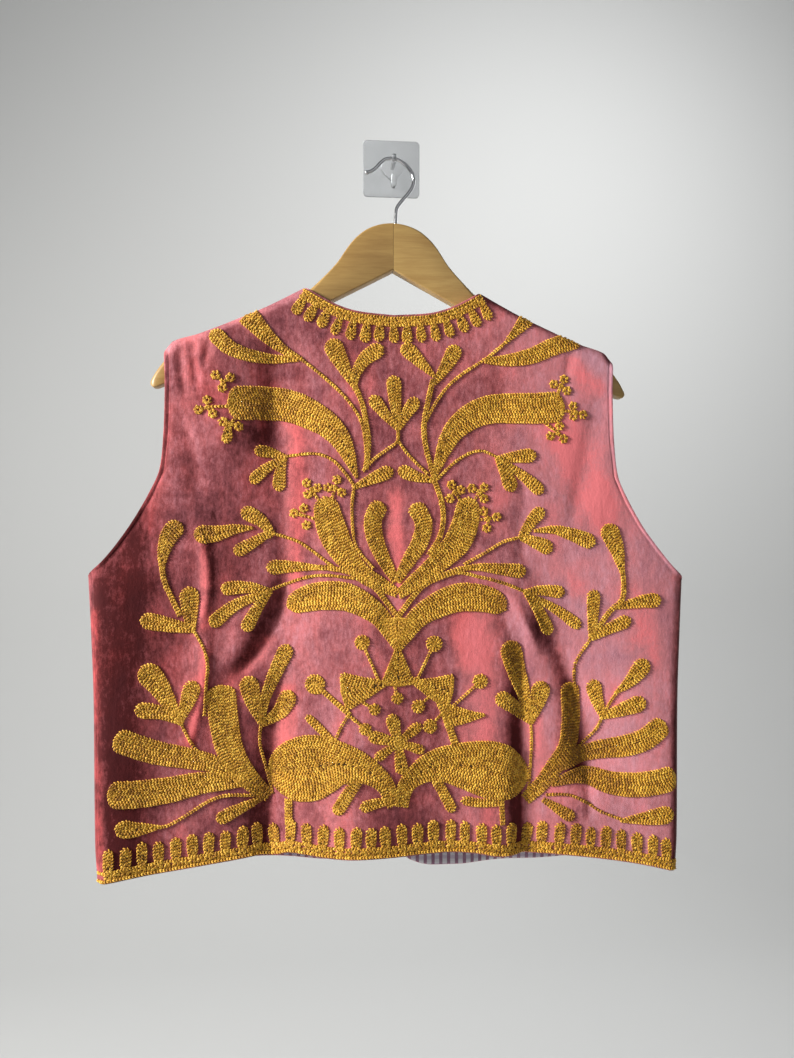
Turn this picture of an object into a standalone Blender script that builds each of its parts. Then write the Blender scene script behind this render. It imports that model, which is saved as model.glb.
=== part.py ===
"""Sleeveless embroidered waistcoat, hung by its shoulders on a wooden hanger and a wall hook.

The wall is the plane y = 0 and the origin is the middle of the wall plate's back face.
+X runs to the right of a person who looks at the wall, +Z is up, and the waistcoat's back
faces that person, towards -Y. Its two fronts hang next to the wall.

Sizes below are in millimetres and become metres when a mesh is made. Each cloth panel is an
open sheet, worked out from its four edges and a depth, and Solidify gives it its wall.
"""

import math
from collections import namedtuple

import bmesh
import bpy

MM = 0.001

# Cloth
CLOTH_WALL = 2.0            # velvet, backing and stitches together
LINING_WALL = 1.0
SEAM_GAP = 0.3
LIP = 0.85                  # straight run of cloth next to a seam
CORNER_EASE = 0.6           # how much wider a seam opens at its end, at the underarm and neck
HANG_Y = -20.0              # plane of the hanger, the shoulder seams and the side folds
SHOULDER_ROLL = 9.0         # outer radius of the cloth where it turns over the hanger
SIDE_ROLL = 14.0            # reach of the rounding beside each side fold
BACK_SWELL = 13.0           # how much further the back stands out low down than at the shoulders
FRONT_SWELL = 4.5
SWELL_TOP, SWELL_LOW = -150.0, -470.0
SIDE_FLATTEN = 0.28         # share of the depth that is lost towards the side folds
UNDERARM_Z = -396.0
TIP_X, TIP_Z = 211.0, -186.5
LEAN = 0.010                # the whole waistcoat hangs this much lower to the right, in height a width
NECK_X, NECK_Z = 84.0, -125.0
CENTRE_EDGE_X = 4.0         # the two front edges meet with twice this between them
LEFT_FRONT_LIFT = 8.0       # the left front hangs this much higher at the hem than the right
FRONT_ARMHOLE_SHIFT = {"left": -2.5, "right": -4.0}

# Edge tables, half the waistcoat each: first column is where, second is the size there
NECKLINE = ((0, -150), (34, -147), (53, -141.5), (69, -133.5), (84, -125))            # x, z
SHOULDER = ((84, -125), (117, -142.5), (143, -154.5), (181, -170.5), (204, -178.2), (211, -186.5))
ARMHOLE = ((-396, 280.5), (-384, 267), (-367, 253), (-345, 238), (-321, 224.5),       # z, x
           (-298, 214.5), (-262, 210.8), (-215, 210), (-200, 210.5), (-186.5, 211))
SIDE_SEAM = ((-672, 272), (-640, 274), (-508, 275.5), (-445, 278), (-396, 280.5))   # z, x
BACK_HEM = ((-272, -672), (-240, -667), (-200, -662), (-158, -656), (-125, -651.5),   # x, z
            (-111, -652), (-96, -648), (-55, -652.5), (0, -652), (51, -649.5), (77, -651),
            (97, -654.5), (120, -654), (160, -654.5), (205, -659), (238, -664), (272, -672))
FRONT_HEM = ((4, -655), (8, -662), (16, -668), (30, -672.5), (50, -674), (80, -672),
             (120, -669), (200, -668), (272, -672))
FRONT_EDGE = ((-655, 4), (-560, 4), (-420, 4), (-325, 4), (-300, 8), (-280, 20),      # z, x
              (-250, 38), (-215, 56), (-180, 70), (-150, 79.5), (-125, 84))

# Folds: a soft trough along a line through three places. left and right are how far it
# reaches to each side, start and end its depth at the top and at the foot; a negative depth
# is a ridge. A fold with hem True runs out at the hem at full depth.
Fold = namedtuple("Fold", "name x_top z_top x_mid z_mid x_low z_low left right start end hem")
BACK_FOLDS = (
    Fold("left_valley", -104, -190, -106, -440, -112, -655, 92, 48, 2.5, 6.5, True),
    Fold("left_hem_trough", -103, -480, -113, -560, -116, -655, 16, 15, 1.0, 4.0, True),
    Fold("left_yoke_swell", -158, -146, -156, -215, -150, -300, 42, 28, -3.5, -4.5, False),
    Fold("left_chest_trough", -102, -345, -112, -443, -149, -492, 12, 30, 1.2, 2.6, False),
    Fold("left_ridge", -186, -335, -173, -410, -187, -535, 11, 12, -0.9, -1.3, False),
    Fold("left_fold_swell", -262, -375, -264, -500, -262, -655, 14, 34, -4.5, -8.0, True),
    Fold("right_hem_trough", 120, -440, 123, -560, 125, -655, 11, 27, 1.5, 7.0, True),
    Fold("right_chest_trough", 118, -345, 164, -470, 188, -600, 16, 36, 0.8, 6.4, False),
    Fold("right_ridge", 104, -390, 120, -428, 140, -470, 9, 9, -1.5, -2.0, False),
    Fold("right_side_swell", 256, -340, 272, -480, 272, -655, 66, 30, -3.0, -9.5, True),
    Fold("centre_swell", -40, -430, -40, -560, -42, -655, 58, 60, -1.0, -5.0, True),
)
FRONT_FOLDS = (
    Fold("soft_trough", 120, -260, 128, -450, 140, -672, 24, 24, 1.0, 3.0, True),
    Fold("side_trough", 226, -380, 222, -500, 214, -672, 18, 18, 1.0, 2.5, True),
)
FOLD_FADE = 34.0            # length over which a fold that stops dies away

# Places of the sheet's own lines, from the middle outwards, as the x they have at the hem
BACK_LINES = (0, 15, 30, 44, 57, 70, 82, 92, 101, 107.266, 114, 121, 128, 138, 150, 165, 182,
              200, 218, 235, 249, 260, 267, 270.6, 272)
FRONT_LINES = (0, 10, 26, 48, 74, 102, 126, 150, 176, 200, 222, 240, 254, 262, 266.6, 268)
# The same up a panel: how far below the shoulder seam, then how far above the hem
UPPER_LINES = (0.7, 2.6, 5.6, 9.0, 17, 30, 46, 63, 80, 97, 114, 131, 148, 165, 182, 199)
LOWER_LINES = (0, 14, 30, 47, 65, 83, 101, 119, 137, 155, 173, 191, 209, 227, 245, 262)
FRONT_UPPER_LINES = (0.7, 2.6, 5.6, 9.0, 22, 44, 68, 92, 116, 140, 164, 188)
FRONT_LOWER_LINES = (0, 8, 24, 48, 76, 104, 132, 160, 188, 216, 240, 262)
LINING_TOP, LINING_SIDE = -300.0, 256.0
LINING_SHORT = 1.0          # the lining ends this far above the front's own hem

# Hanger
WOOD_GAP = 0.3
WOOD_HALF = 6.5             # half its thickness
WOOD_TOP_ROUND = 7.0        # height of the rounding along the upper edge
WOOD_FOOT_ROUND = 3.5
ROUND_STEPS = 4             # faces across a quarter of the upper rounding
FOOT_STEPS = 2
# One arm from the mitre outwards: x, top z, bottom z and share of the full thickness
WOOD_SECTIONS = ((0, -61.5, -106.0, 1.0), (8, -62.2, -110.2, 1.0), (17, -64.5, -115.0, 1.0),
                 (25, -68.2, -119.3, 1.0), (31.5, -73.0, -122.7, 1.0), (37, -78.3, -125.6, 1.0),
                 (42, -84.5, -128.3, 1.0), (47, -92.0, -130.9, 1.0), (52, -99.5, -133.6, 1.0),
                 (59, -107.8, -137.3, 1.0), (66, -115.0, -141.0, 1.0),
                 (73, -121.4, -144.7, 1.0), (79, -126.2, -147.9, 1.0),
                 (86, -129.2, -151.6, 1.0), (100, -136.9, -159.0, 1.0),
                 (117, -145.4, -168.0, 1.0), (143, -157.9, -181.8, 1.0),
                 (165, -167.2, -193.5, 1.0), (181, -174.0, -201.9, 1.0),
                 (194, -180.2, -208.8, 1.0), (205, -188.5, -214.7, 1.0),
                 (212, -196.0, -218.4, 1.0), (218, -203.8, -221.2, 0.96),
                 (222, -210.2, -221.4, 0.84), (224.6, -215.0, -219.0, 0.45))

# Hook and wall plate
WIRE = 3.4
HOOK_ROUTE = ((2.4, -61.0), (2.8, -54), (3.4, -47), (5.4, -42.6), (9.7, -37.2), (15.2, -30.6),
              (18.8, -24.6), (19.9, -18.6), (18.2, -11.6), (13.2, -4.9), (6.8, -0.4),
              (-1.2, 1.5), (-7.5, 0.3), (-12.0, -3.4), (-15.6, -7.4), (-19.9, -10.9),
              (-24.7, -12.6))                                                         # x, z
HOOK_STEPS = 2
PLATE, PLATE_THICK, PLATE_CORNER = 55.0, 1.2, 4.0
BOSS_X, BOSS_Z, BOSS_R, BOSS_FRONT = 0.8, 0.5, 11.0, 4.0
BOSS_FOOT_X, BOSS_FOOT_Z, BOSS_FOOT_HALF = 1.7, -11.5, 2.5
PRONG_X, PRONG_HALF, PRONG_TOP, PRONG_FOOT, PRONG_FRONT = 2.1, 2.6, -9.0, -19.2, 7.0
FINGER_R = 2.2
FINGER_ROUTE = ((-2.6, 0.4), (-9, -1.6), (-15, -2.7), (-20, -2.8), (-23.6, -1.4),     # y, z
                (-25.4, 0.8), (-25.7, 2.8))
FINGER_STEPS = 3

Finish = namedtuple("Finish", "name colour roughness metallic alpha")
VELVET = Finish("rose_velvet", (0.66, 0.25, 0.28), 0.9, 0.0, 1.0)
LINING = Finish("checked_cotton", (0.78, 0.70, 0.76), 0.85, 0.0, 1.0)
WOOD_LEFT = Finish("hanger_wood_left", (0.55, 0.35, 0.17), 0.5, 0.0, 1.0)
WOOD_RIGHT = Finish("hanger_wood_right", (0.62, 0.42, 0.22), 0.5, 0.0, 1.0)
STEEL = Finish("hook_steel", (0.75, 0.75, 0.76), 0.18, 1.0, 1.0)
CLEAR = Finish("clear_plastic", (0.85, 0.87, 0.88), 0.12, 0.0, 0.35)


def clear_scene():
    """Remove every object that the file opened with."""
    for item in list(bpy.data.objects):
        bpy.data.objects.remove(item, do_unlink=True)


def make_material(finish):
    """Return the Principled material of one finish."""
    material = bpy.data.materials.new(finish.name)
    material.use_nodes = True
    shader = material.node_tree.nodes["Principled BSDF"]
    shader.inputs["Base Color"].default_value = (*finish.colour, 1.0)
    shader.inputs["Roughness"].default_value = finish.roughness
    shader.inputs["Metallic"].default_value = finish.metallic
    shader.inputs["Alpha"].default_value = finish.alpha
    return material


def lerp(a, b, t):
    """Blend two numbers."""
    return a + (b - a) * t


def smooth(t):
    """Ease from 0 to 1 with no corner at either end."""
    t = min(max(t, 0.0), 1.0)
    return t * t * (3.0 - 2.0 * t)


def arch(t):
    """Quarter round: 0 at t = 0, upright there, and level at 1 from t = 1 on."""
    return math.sqrt(1.0 - (1.0 - min(max(t, 0.0), 1.0)) ** 2)


def along(table, place):
    """Read a two-column table at a place, on a smooth curve through its rows."""
    last = len(table) - 2
    index = 0
    while index < last and place > table[index + 1][0]:
        index += 1
    (x0, y0), (x1, y1) = table[index], table[index + 1]
    rise = (y1 - y0) / (x1 - x0)
    before, after = rise, rise
    if index > 0:
        before = (y1 - table[index - 1][1]) / (x1 - table[index - 1][0])
    if index < last:
        after = (table[index + 2][1] - y0) / (table[index + 2][0] - x0)
    t = (place - x0) / (x1 - x0)
    t = min(max(t, 0.0), 1.0)
    span = x1 - x0
    return ((2 * t**3 - 3 * t**2 + 1) * y0 + (t**3 - 2 * t**2 + t) * span * before
            + (3 * t**2 - 2 * t**3) * y1 + (t**3 - t**2) * span * after)


def curve_through(points, steps):
    """Return points of a smooth curve through the given 2D points."""
    out = []
    for i in range(len(points) - 1):
        p0 = points[max(i - 1, 0)]
        p1, p2 = points[i], points[i + 1]
        p3 = points[min(i + 2, len(points) - 1)]
        for k in range(steps):
            t = k / steps
            out.append(tuple(
                0.5 * (2 * b + (c - a) * t + (2 * a - 5 * b + 4 * c - d) * t**2
                       + (3 * b - a - 3 * c + d) * t**3)
                for a, b, c, d in zip(p0, p1, p2, p3)))
    out.append(tuple(points[-1]))
    return out


def distance_to_line(points, x, z):
    """Shortest distance from (x, z) to the line through the points."""
    best = math.inf
    for (x0, z0), (x1, z1) in zip(points, points[1:]):
        dx, dz = x1 - x0, z1 - z0
        t = ((x - x0) * dx + (z - z0) * dz) / (dx * dx + dz * dz)
        t = min(max(t, 0.0), 1.0)
        best = min(best, math.hypot(x - x0 - dx * t, z - z0 - dz * t))
    return best


def top_z(x):
    """Height of the back's upper edge: the neckline, then the shoulder seam."""
    return along(NECKLINE, abs(x)) if abs(x) < NECK_X else along(SHOULDER, abs(x))


def side_x(z, armhole_shift=0.0):
    """Half width of a panel at a height: the side seam, then the armhole's edge."""
    if z <= UNDERARM_Z:
        return along(SIDE_SEAM, z)
    t = (z - UNDERARM_Z) / (TIP_Z - UNDERARM_Z)
    return along(ARMHOLE, z) + armhole_shift * (1.0 - (2.0 * t - 1.0) ** 4)


def fold_depth(folds, x, z):
    """Depth of all the folds at a place, positive towards the inside of the garment."""
    total = 0.0
    for fold in folds:
        t = (fold.z_top - z) / (fold.z_top - fold.z_low)
        fade = smooth((fold.z_top - z) / FOLD_FADE)
        if not fold.hem:
            fade *= smooth((z - fold.z_low) / FOLD_FADE)
        if fade <= 0.0:
            continue
        t = min(max(t, 0.0), 1.0)
        middle = (fold.z_top - fold.z_mid) / (fold.z_top - fold.z_low)
        bend = (fold.x_mid - lerp(fold.x_top, fold.x_low, middle)) / (middle * (1.0 - middle))
        centre = lerp(fold.x_top, fold.x_low, t) + bend * t * (1.0 - t)
        reach = fold.left if x < centre else fold.right
        total += lerp(fold.start, fold.end, t) * fade * math.exp(-((x - centre) / reach) ** 2)
    return total


def panel_depth(x, z, swell, folds):
    """Distance from the hanging plane to a panel's outer face at a place."""
    half = side_x(max(z, SIDE_SEAM[0][0]))
    low = smooth((SWELL_TOP - z) / (SWELL_TOP - SWELL_LOW))
    flatten = 1.0 - SIDE_FLATTEN * low * min(abs(x) / half, 1.0) ** 4
    depth = SHOULDER_ROLL + swell * low
    depth = depth * flatten - fold_depth(folds, x, z)
    to_seam = distance_to_line(SHOULDER, abs(x), z)
    seam_side = [(width, height) for height, width in SIDE_SEAM]
    to_side = distance_to_line(seam_side, abs(x), z)
    return LIP + (depth - LIP) * arch(to_seam / SHOULDER_ROLL) * arch(to_side / SIDE_ROLL)


def seam_depth(at_end):
    """Depth of a sheet's edge at a seam, a little more at the seam's open end."""
    return SEAM_GAP / 2 + (CORNER_EASE if at_end else 0.0)


def coons(low, top, left, right):
    """Return the patch that four edge functions bound, as a function of (s, v)."""
    corners = (low(0.0), low(1.0), top(0.0), top(1.0))

    def place(s, v):
        point = []
        for axis in range(2):
            ruled = lerp(low(s)[axis], top(s)[axis], v)
            sides = lerp(left(v)[axis], right(v)[axis], s)
            plain = lerp(lerp(corners[0][axis], corners[1][axis], s),
                         lerp(corners[2][axis], corners[3][axis], s), v)
            point.append(ruled + sides - plain)
        return point
    return place


def hung(point):
    """A point of the hanger or the waistcoat in metres, with the lean that it hangs with."""
    x, y, z = point
    return x * MM, y * MM, (z - LEAN * x) * MM


def link(name, data, finish, collection):
    """Make an object of a mesh or curve, give it its material and file it."""
    item = bpy.data.objects.new(name, data)
    item.data.materials.append(make_material(finish))
    collection.objects.link(item)
    return item


def sheet_object(name, grid, facing, wall, finish, collection):
    """Build an open sheet from rows of points and give it its wall with Solidify."""
    bm = bmesh.new()
    rows = [[bm.verts.new(hung(point)) for point in row] for row in grid]
    for lower, upper in zip(rows, rows[1:]):
        for k in range(len(lower) - 1):
            ring = [lower[k], lower[k + 1], upper[k + 1], upper[k]]
            bm.faces.new(ring if facing < 0 else ring[::-1])
    mesh = bpy.data.meshes.new(name)
    bm.to_mesh(mesh)
    bm.free()
    mesh.shade_smooth()
    item = link(name, mesh, finish, collection)
    solid = item.modifiers.new("cloth_wall", "SOLIDIFY")
    solid.thickness = wall * MM
    solid.offset = -1.0
    return item


def height_shares(upper_lines, lower_lines, tip_to_hem, underarm_share):
    """Shares of the way up a panel, 0 at the hem and 1 at the shoulder seam."""
    lower = [line / tip_to_hem for line in lower_lines]
    upper = [1.0 - line / tip_to_hem for line in reversed(upper_lines)]
    return lower + [underarm_share] + upper + [1.0]


def build_back(collection):
    """The back: one piece from side fold to side fold and from neckline to hem."""
    hem_x = BACK_LINES[-1]
    foot_z = BACK_HEM[0][1]

    def low(s):
        x = lerp(-hem_x, hem_x, s)
        return x, along(BACK_HEM, x)

    def top(s):
        x = lerp(-TIP_X, TIP_X, s)
        return x, top_z(x)

    def left(v):
        z = lerp(foot_z, TIP_Z, v)
        return -side_x(z), z

    def right(v):
        z = lerp(BACK_HEM[-1][1], TIP_Z, v)
        return side_x(z), z

    patch = coons(low, top, left, right)
    length = TIP_Z - foot_z
    underarm = (UNDERARM_Z - foot_z) / length
    shares = height_shares(UPPER_LINES, LOWER_LINES, length, underarm)
    lines = [-x for x in reversed(BACK_LINES[1:])] + list(BACK_LINES)
    grid = []
    for index, v in enumerate(shares + [1.0]):
        seam_row = index == len(shares)
        row = []
        for column in range(-1, len(lines) + 1):
            beside = column in (-1, len(lines))
            hem_place = lines[min(max(column, 0), len(lines) - 1)]
            if not beside and abs(hem_place) == hem_x and v > underarm:
                hem_place -= math.copysign(LIP, hem_place)
            s = (hem_place + hem_x) / (2 * hem_x)
            x, z = patch(s, v)
            at_neck = abs(lerp(-TIP_X, TIP_X, s)) < NECK_X - 0.5
            if v == 1.0 and at_neck and not seam_row:
                z -= LIP
            depth = panel_depth(x, z, BACK_SWELL, BACK_FOLDS)
            neck_end = abs(abs(x) - NECK_X) < 0.5
            if (seam_row and not at_neck) or (beside and v <= underarm):
                depth = seam_depth(v == underarm or (seam_row and neck_end))
            row.append((x, HANG_Y - depth, z))
        grid.append(row)
    return sheet_object("back_panel", grid, -1, CLOTH_WALL, VELVET, collection)


def front_patch(side):
    """Edges of one front, as a patch in which x is the distance from the middle."""
    shift = FRONT_ARMHOLE_SHIFT[side]
    lift = LEFT_FRONT_LIFT if side == "left" else 0.0
    corner_z = FRONT_HEM[0][1] + lift
    side_z = BACK_HEM[0][1] if side == "left" else BACK_HEM[-1][1]

    def low(s):
        x = lerp(FRONT_HEM[0][0], FRONT_HEM[-1][0], s)
        raised = lift * (1.0 - smooth((s - 0.6) / 0.4))
        return x, along(FRONT_HEM, x) + raised + (side_z - FRONT_HEM[-1][1]) * smooth(s)

    def top(s):
        x = lerp(NECK_X, TIP_X, s)
        return x, along(SHOULDER, x)

    def inner(v):
        z = lerp(corner_z, NECK_Z, v)
        return along(FRONT_EDGE, z), z

    def outer(v):
        z = lerp(side_z, TIP_Z, v)
        return side_x(z, shift), z

    return coons(low, top, inner, outer), side_z


def front_grid(side, patch, side_z):
    """Points of one front's outer face, in rows from hem to shoulder seam."""
    sign = -1.0 if side == "left" else 1.0
    span = FRONT_LINES[-1]
    length = TIP_Z - side_z
    underarm = (UNDERARM_Z - side_z) / length
    shares = height_shares(FRONT_UPPER_LINES, FRONT_LOWER_LINES, length, underarm)
    grid = []
    for index, v in enumerate(shares + [1.0]):
        seam_row = index == len(shares)
        row = []
        for column in range(len(FRONT_LINES) + 1):
            beside = column == len(FRONT_LINES)
            place = FRONT_LINES[min(column, len(FRONT_LINES) - 1)]
            if not beside and place == span and v > underarm:
                place -= LIP
            x, z = patch(place / span, v)
            depth = panel_depth(x, z, FRONT_SWELL, FRONT_FOLDS)
            if seam_row or (beside and v <= underarm):
                depth = seam_depth(v == underarm or (seam_row and column == 0))
            row.append((sign * x, HANG_Y + depth, z))
        grid.append(row)
    return grid


def build_front(side, collection):
    """One front: shoulder, front neckline, straight opening edge, round corner, armhole."""
    patch, side_z = front_patch(side)
    grid = front_grid(side, patch, side_z)
    facing = 1 if side == "right" else -1
    return sheet_object("front_" + side, grid, facing, CLOTH_WALL, VELVET, collection)


def build_lining(collection):
    """The right front's lining, on its inner face, from below the chest to the hem."""
    patch, side_z = front_patch("right")
    span = FRONT_LINES[-1]
    columns = [line for line in FRONT_LINES if line < LINING_SIDE - CENTRE_EDGE_X]
    steps = len(FRONT_LOWER_LINES) + 3
    top_share = (LINING_TOP - side_z) / (TIP_Z - side_z)
    grid = []
    for index in range(steps + 1):
        v = top_share * (index / steps) ** 1.3
        row = []
        for line in columns:
            x, z = patch(line / span, v)
            z += LINING_SHORT * (1.0 - v / top_share)
            x += LINING_SHORT * (1.0 - line / span)
            depth = panel_depth(x, z, FRONT_SWELL, FRONT_FOLDS)
            row.append((x, HANG_Y + depth - CLOTH_WALL - SEAM_GAP, z))
        grid.append(row)
    return sheet_object("lining_front_right", grid, 1, LINING_WALL, LINING, collection)


def wood_section(x, top, foot, share):
    """Ring of points round the hanger arm at one place, from its upper edge's back round."""
    half = WOOD_HALF * share
    top_round = min(WOOD_TOP_ROUND, (top - foot) * 0.6)
    foot_round = min(WOOD_FOOT_ROUND, (top - foot) * 0.3, half)
    ring = []
    for k in range(2 * ROUND_STEPS + 1):
        angle = math.pi / 2 * k / ROUND_STEPS
        ring.append((x, HANG_Y + half * math.cos(angle),
                     top - top_round * (1.0 - math.sin(angle))))
    for sign in (-1.0, 1.0):
        for k in range(FOOT_STEPS + 1):
            turn = math.pi / 2 * k / FOOT_STEPS
            swing = turn if sign < 0 else math.pi / 2 - turn
            ring.append((x, HANG_Y + sign * (half - foot_round * (1.0 - math.cos(swing))),
                         foot + foot_round * (1.0 - math.sin(swing))))
    return ring


def extruded(name, outline, half, finish, collection):
    """A flat outline in the XZ plane, given a thickness along Y, as a welded mesh object."""
    curve = bpy.data.curves.new(name, "CURVE")
    curve.dimensions = "2D"
    curve.fill_mode = "BOTH"
    curve.extrude = half * MM
    spline = curve.splines.new("POLY")
    spline.points.add(len(outline) - 1)
    for point, (x, z) in zip(spline.points, outline):
        point.co = (x * MM, z * MM, 0.0, 1.0)
    spline.use_cyclic_u = True
    flat = bpy.data.objects.new(name + "_outline", curve)
    collection.objects.link(flat)
    flat.rotation_euler = (math.pi / 2, 0.0, 0.0)
    return as_mesh(name, flat, finish, collection)


def as_mesh(name, source, finish, collection):
    """Turn a curve object into a mesh object with its caps welded, and remove the curve."""
    bpy.context.view_layer.update()
    evaluated = source.evaluated_get(bpy.context.evaluated_depsgraph_get())
    mesh = bpy.data.meshes.new_from_object(evaluated)
    mesh.transform(source.matrix_world)
    bm = bmesh.new()
    bm.from_mesh(mesh)
    bmesh.ops.remove_doubles(bm, verts=bm.verts, dist=0.01 * MM)
    bmesh.ops.recalc_face_normals(bm, faces=bm.faces)
    bm.to_mesh(mesh)
    bm.free()
    mesh.materials.clear()
    bpy.data.objects.remove(source, do_unlink=True)
    return link(name, mesh, finish, collection)


def build_arm(side, collection):
    """One arm of the hanger: a loft of rounded sections from the mitre to the rounded tip."""
    sign = -1.0 if side == "left" else 1.0
    bm = bmesh.new()
    rings = []
    for x, top, foot, share in WOOD_SECTIONS:
        places = wood_section(sign * max(x, WOOD_GAP / 2), top, foot, share)
        rings.append([bm.verts.new(hung(place)) for place in places])
    for near, far in zip(rings, rings[1:]):
        for k in range(len(near)):
            after = (k + 1) % len(near)
            bm.faces.new((near[k], near[after], far[after], far[k]))
    bm.faces.new(rings[0])
    bm.faces.new(rings[-1])
    bmesh.ops.recalc_face_normals(bm, faces=bm.faces)
    mesh = bpy.data.meshes.new("hanger_arm_" + side)
    bm.to_mesh(mesh)
    bm.free()
    finish = WOOD_LEFT if side == "left" else WOOD_RIGHT
    return link("hanger_arm_" + side, mesh, finish, collection)


def tube(name, route, radius, finish, collection):
    """A round wire along a route of (x, y, z) points, closed at both ends."""
    curve = bpy.data.curves.new(name, "CURVE")
    curve.dimensions = "3D"
    curve.bevel_depth = radius * MM
    curve.bevel_resolution = 2
    curve.use_fill_caps = True
    spline = curve.splines.new("POLY")
    spline.points.add(len(route) - 1)
    for point, place in zip(spline.points, route):
        point.co = (*(value * MM for value in place), 1.0)
    path = bpy.data.objects.new(name + "_route", curve)
    collection.objects.link(path)
    return as_mesh(name, path, finish, collection)


def build_hook(collection):
    """The hanger's wire hook, from just above the wood over the wall hook to its free end."""
    route = [(x, HANG_Y, z) for x, z in curve_through(HOOK_ROUTE, HOOK_STEPS)]
    return tube("hanger_hook", route, WIRE / 2, STEEL, collection)


def ring_points(cx, cz, radius, first, last, steps):
    """Points on a circle from one angle to another, in degrees, both included."""
    out = []
    for k in range(steps + 1):
        angle = math.radians(lerp(first, last, k / steps))
        out.append((cx + radius * math.cos(angle), cz + radius * math.sin(angle)))
    return out


def join_solids(base, others):
    """Unite other closed solids with a base, one EXACT Boolean each."""
    for other in others:
        union = base.modifiers.new("join_" + other.name, "BOOLEAN")
        union.operation = "UNION"
        union.solver = "EXACT"
        union.object = other
        other.hide_render = True
        other.display_type = "WIRE"


def build_wall_hook(collection, cutters):
    """The clear wall hook: square plate, shield boss, lower prong and J finger, in one piece."""
    inset = PLATE / 2 - PLATE_CORNER
    square = []
    for cx, cz, first in ((inset, inset, 0), (-inset, inset, 90), (-inset, -inset, 180),
                          (inset, -inset, 270)):
        square += ring_points(cx, cz, PLATE_CORNER, first, first + 90, 4)
    plate = extruded("wall_hook", square, PLATE_THICK / 2, CLEAR, collection)
    plate.location = (0.0, -PLATE_THICK / 2 * MM, 0.0)

    shield = ring_points(BOSS_X, BOSS_Z, BOSS_R, -25, 205, 14)
    shield += [(BOSS_FOOT_X - BOSS_FOOT_HALF, BOSS_FOOT_Z),
               (BOSS_FOOT_X + BOSS_FOOT_HALF, BOSS_FOOT_Z)]
    boss_half = (BOSS_FRONT - PLATE_THICK / 2) / 2
    boss = extruded("boss", shield, boss_half, CLEAR, cutters)
    boss.location = (0.0, -(PLATE_THICK / 2 + boss_half) * MM, 0.0)

    capsule = ring_points(PRONG_X, PRONG_TOP, PRONG_HALF, 0, 180, 6)
    capsule += ring_points(PRONG_X, PRONG_FOOT + PRONG_HALF, PRONG_HALF, 180, 360, 6)
    prong_half = (PRONG_FRONT - PLATE_THICK / 2 - 0.1) / 2
    prong = extruded("prong", capsule, prong_half, CLEAR, cutters)
    prong.location = (0.0, -(PLATE_THICK / 2 + 0.1 + prong_half) * MM, 0.0)

    route = [(BOSS_X, y, z) for y, z in curve_through(FINGER_ROUTE, FINGER_STEPS)]
    finger = tube("finger", route, FINGER_R, CLEAR, cutters)
    join_solids(plate, (boss, prong, finger))
    return plate


def main():
    """Build every piece of the hung waistcoat."""
    clear_scene()
    parts = bpy.data.collections.new("embroidered_waistcoat")
    cutters = bpy.data.collections.new("joined_solids")
    for collection in (parts, cutters):
        bpy.context.scene.collection.children.link(collection)
    build_back(parts)
    for side in ("left", "right"):
        build_front(side, parts)
        build_arm(side, parts)
    build_lining(parts)
    build_hook(parts)
    build_wall_hook(parts, cutters)


main()
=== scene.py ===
"""Dresses the hung velvet waistcoat: cloth shells, chain-stitched scrolls, hanger and hooks.

Lengths in the tables are millimetres and become metres when a mesh is made. The wall is the
plane y = 0, +X runs to the viewer's right, +Z is up, and the waistcoat's back faces -Y.
"""

import logging
import math
import random
from dataclasses import dataclass, field
from enum import Enum
from functools import lru_cache
from typing import Any, Callable, Optional, Sequence

import bmesh
import bpy
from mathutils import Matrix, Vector


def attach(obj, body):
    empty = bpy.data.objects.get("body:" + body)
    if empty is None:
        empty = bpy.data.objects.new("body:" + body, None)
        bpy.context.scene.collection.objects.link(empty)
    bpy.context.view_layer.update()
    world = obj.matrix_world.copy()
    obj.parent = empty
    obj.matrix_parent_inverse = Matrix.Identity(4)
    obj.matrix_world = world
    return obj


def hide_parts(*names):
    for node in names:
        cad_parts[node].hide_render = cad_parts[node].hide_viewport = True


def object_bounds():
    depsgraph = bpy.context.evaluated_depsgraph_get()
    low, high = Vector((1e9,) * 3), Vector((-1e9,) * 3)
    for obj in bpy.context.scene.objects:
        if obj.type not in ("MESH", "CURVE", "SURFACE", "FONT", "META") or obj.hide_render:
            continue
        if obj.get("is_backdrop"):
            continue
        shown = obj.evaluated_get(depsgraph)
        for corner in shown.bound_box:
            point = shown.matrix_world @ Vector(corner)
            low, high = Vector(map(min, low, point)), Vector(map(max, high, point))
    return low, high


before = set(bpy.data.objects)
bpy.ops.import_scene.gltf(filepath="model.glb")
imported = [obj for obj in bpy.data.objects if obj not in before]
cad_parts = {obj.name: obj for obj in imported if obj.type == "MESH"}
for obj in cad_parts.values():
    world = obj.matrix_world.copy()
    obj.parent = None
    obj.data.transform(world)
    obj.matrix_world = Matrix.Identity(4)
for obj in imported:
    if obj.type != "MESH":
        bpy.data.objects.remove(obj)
CAD_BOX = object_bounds()

LOG = logging.getLogger("waistcoat")
BODY = "root"
MM = 0.001
FAR = 99.0
WELD = 0.005 * MM

Place = tuple[float, float]
Place3 = tuple[float, float, float]
Colour = tuple[float, float, float]
Socket = bpy.types.NodeSocket
Mesh = bpy.types.Mesh
Item = bpy.types.Object


# ---- small maths

def lerp(a: float, b: float, t: float) -> float:
    """Blend two numbers."""
    return a + (b - a) * t


def lerp_place(a: Place, b: Place, t: float) -> Place:
    """Place at share t between two places."""
    return lerp(a[0], b[0], t), lerp(a[1], b[1], t)


def smooth(t: float) -> float:
    """Ease from 0 to 1 with no corner at either end."""
    t = min(max(t, 0.0), 1.0)
    return t * t * (3.0 - 2.0 * t)


def arch(t: float) -> float:
    """Quarter round: 0 at t = 0, upright there, and level at 1 from t = 1 on."""
    return math.sqrt(1.0 - (1.0 - min(max(t, 0.0), 1.0)) ** 2)


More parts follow.
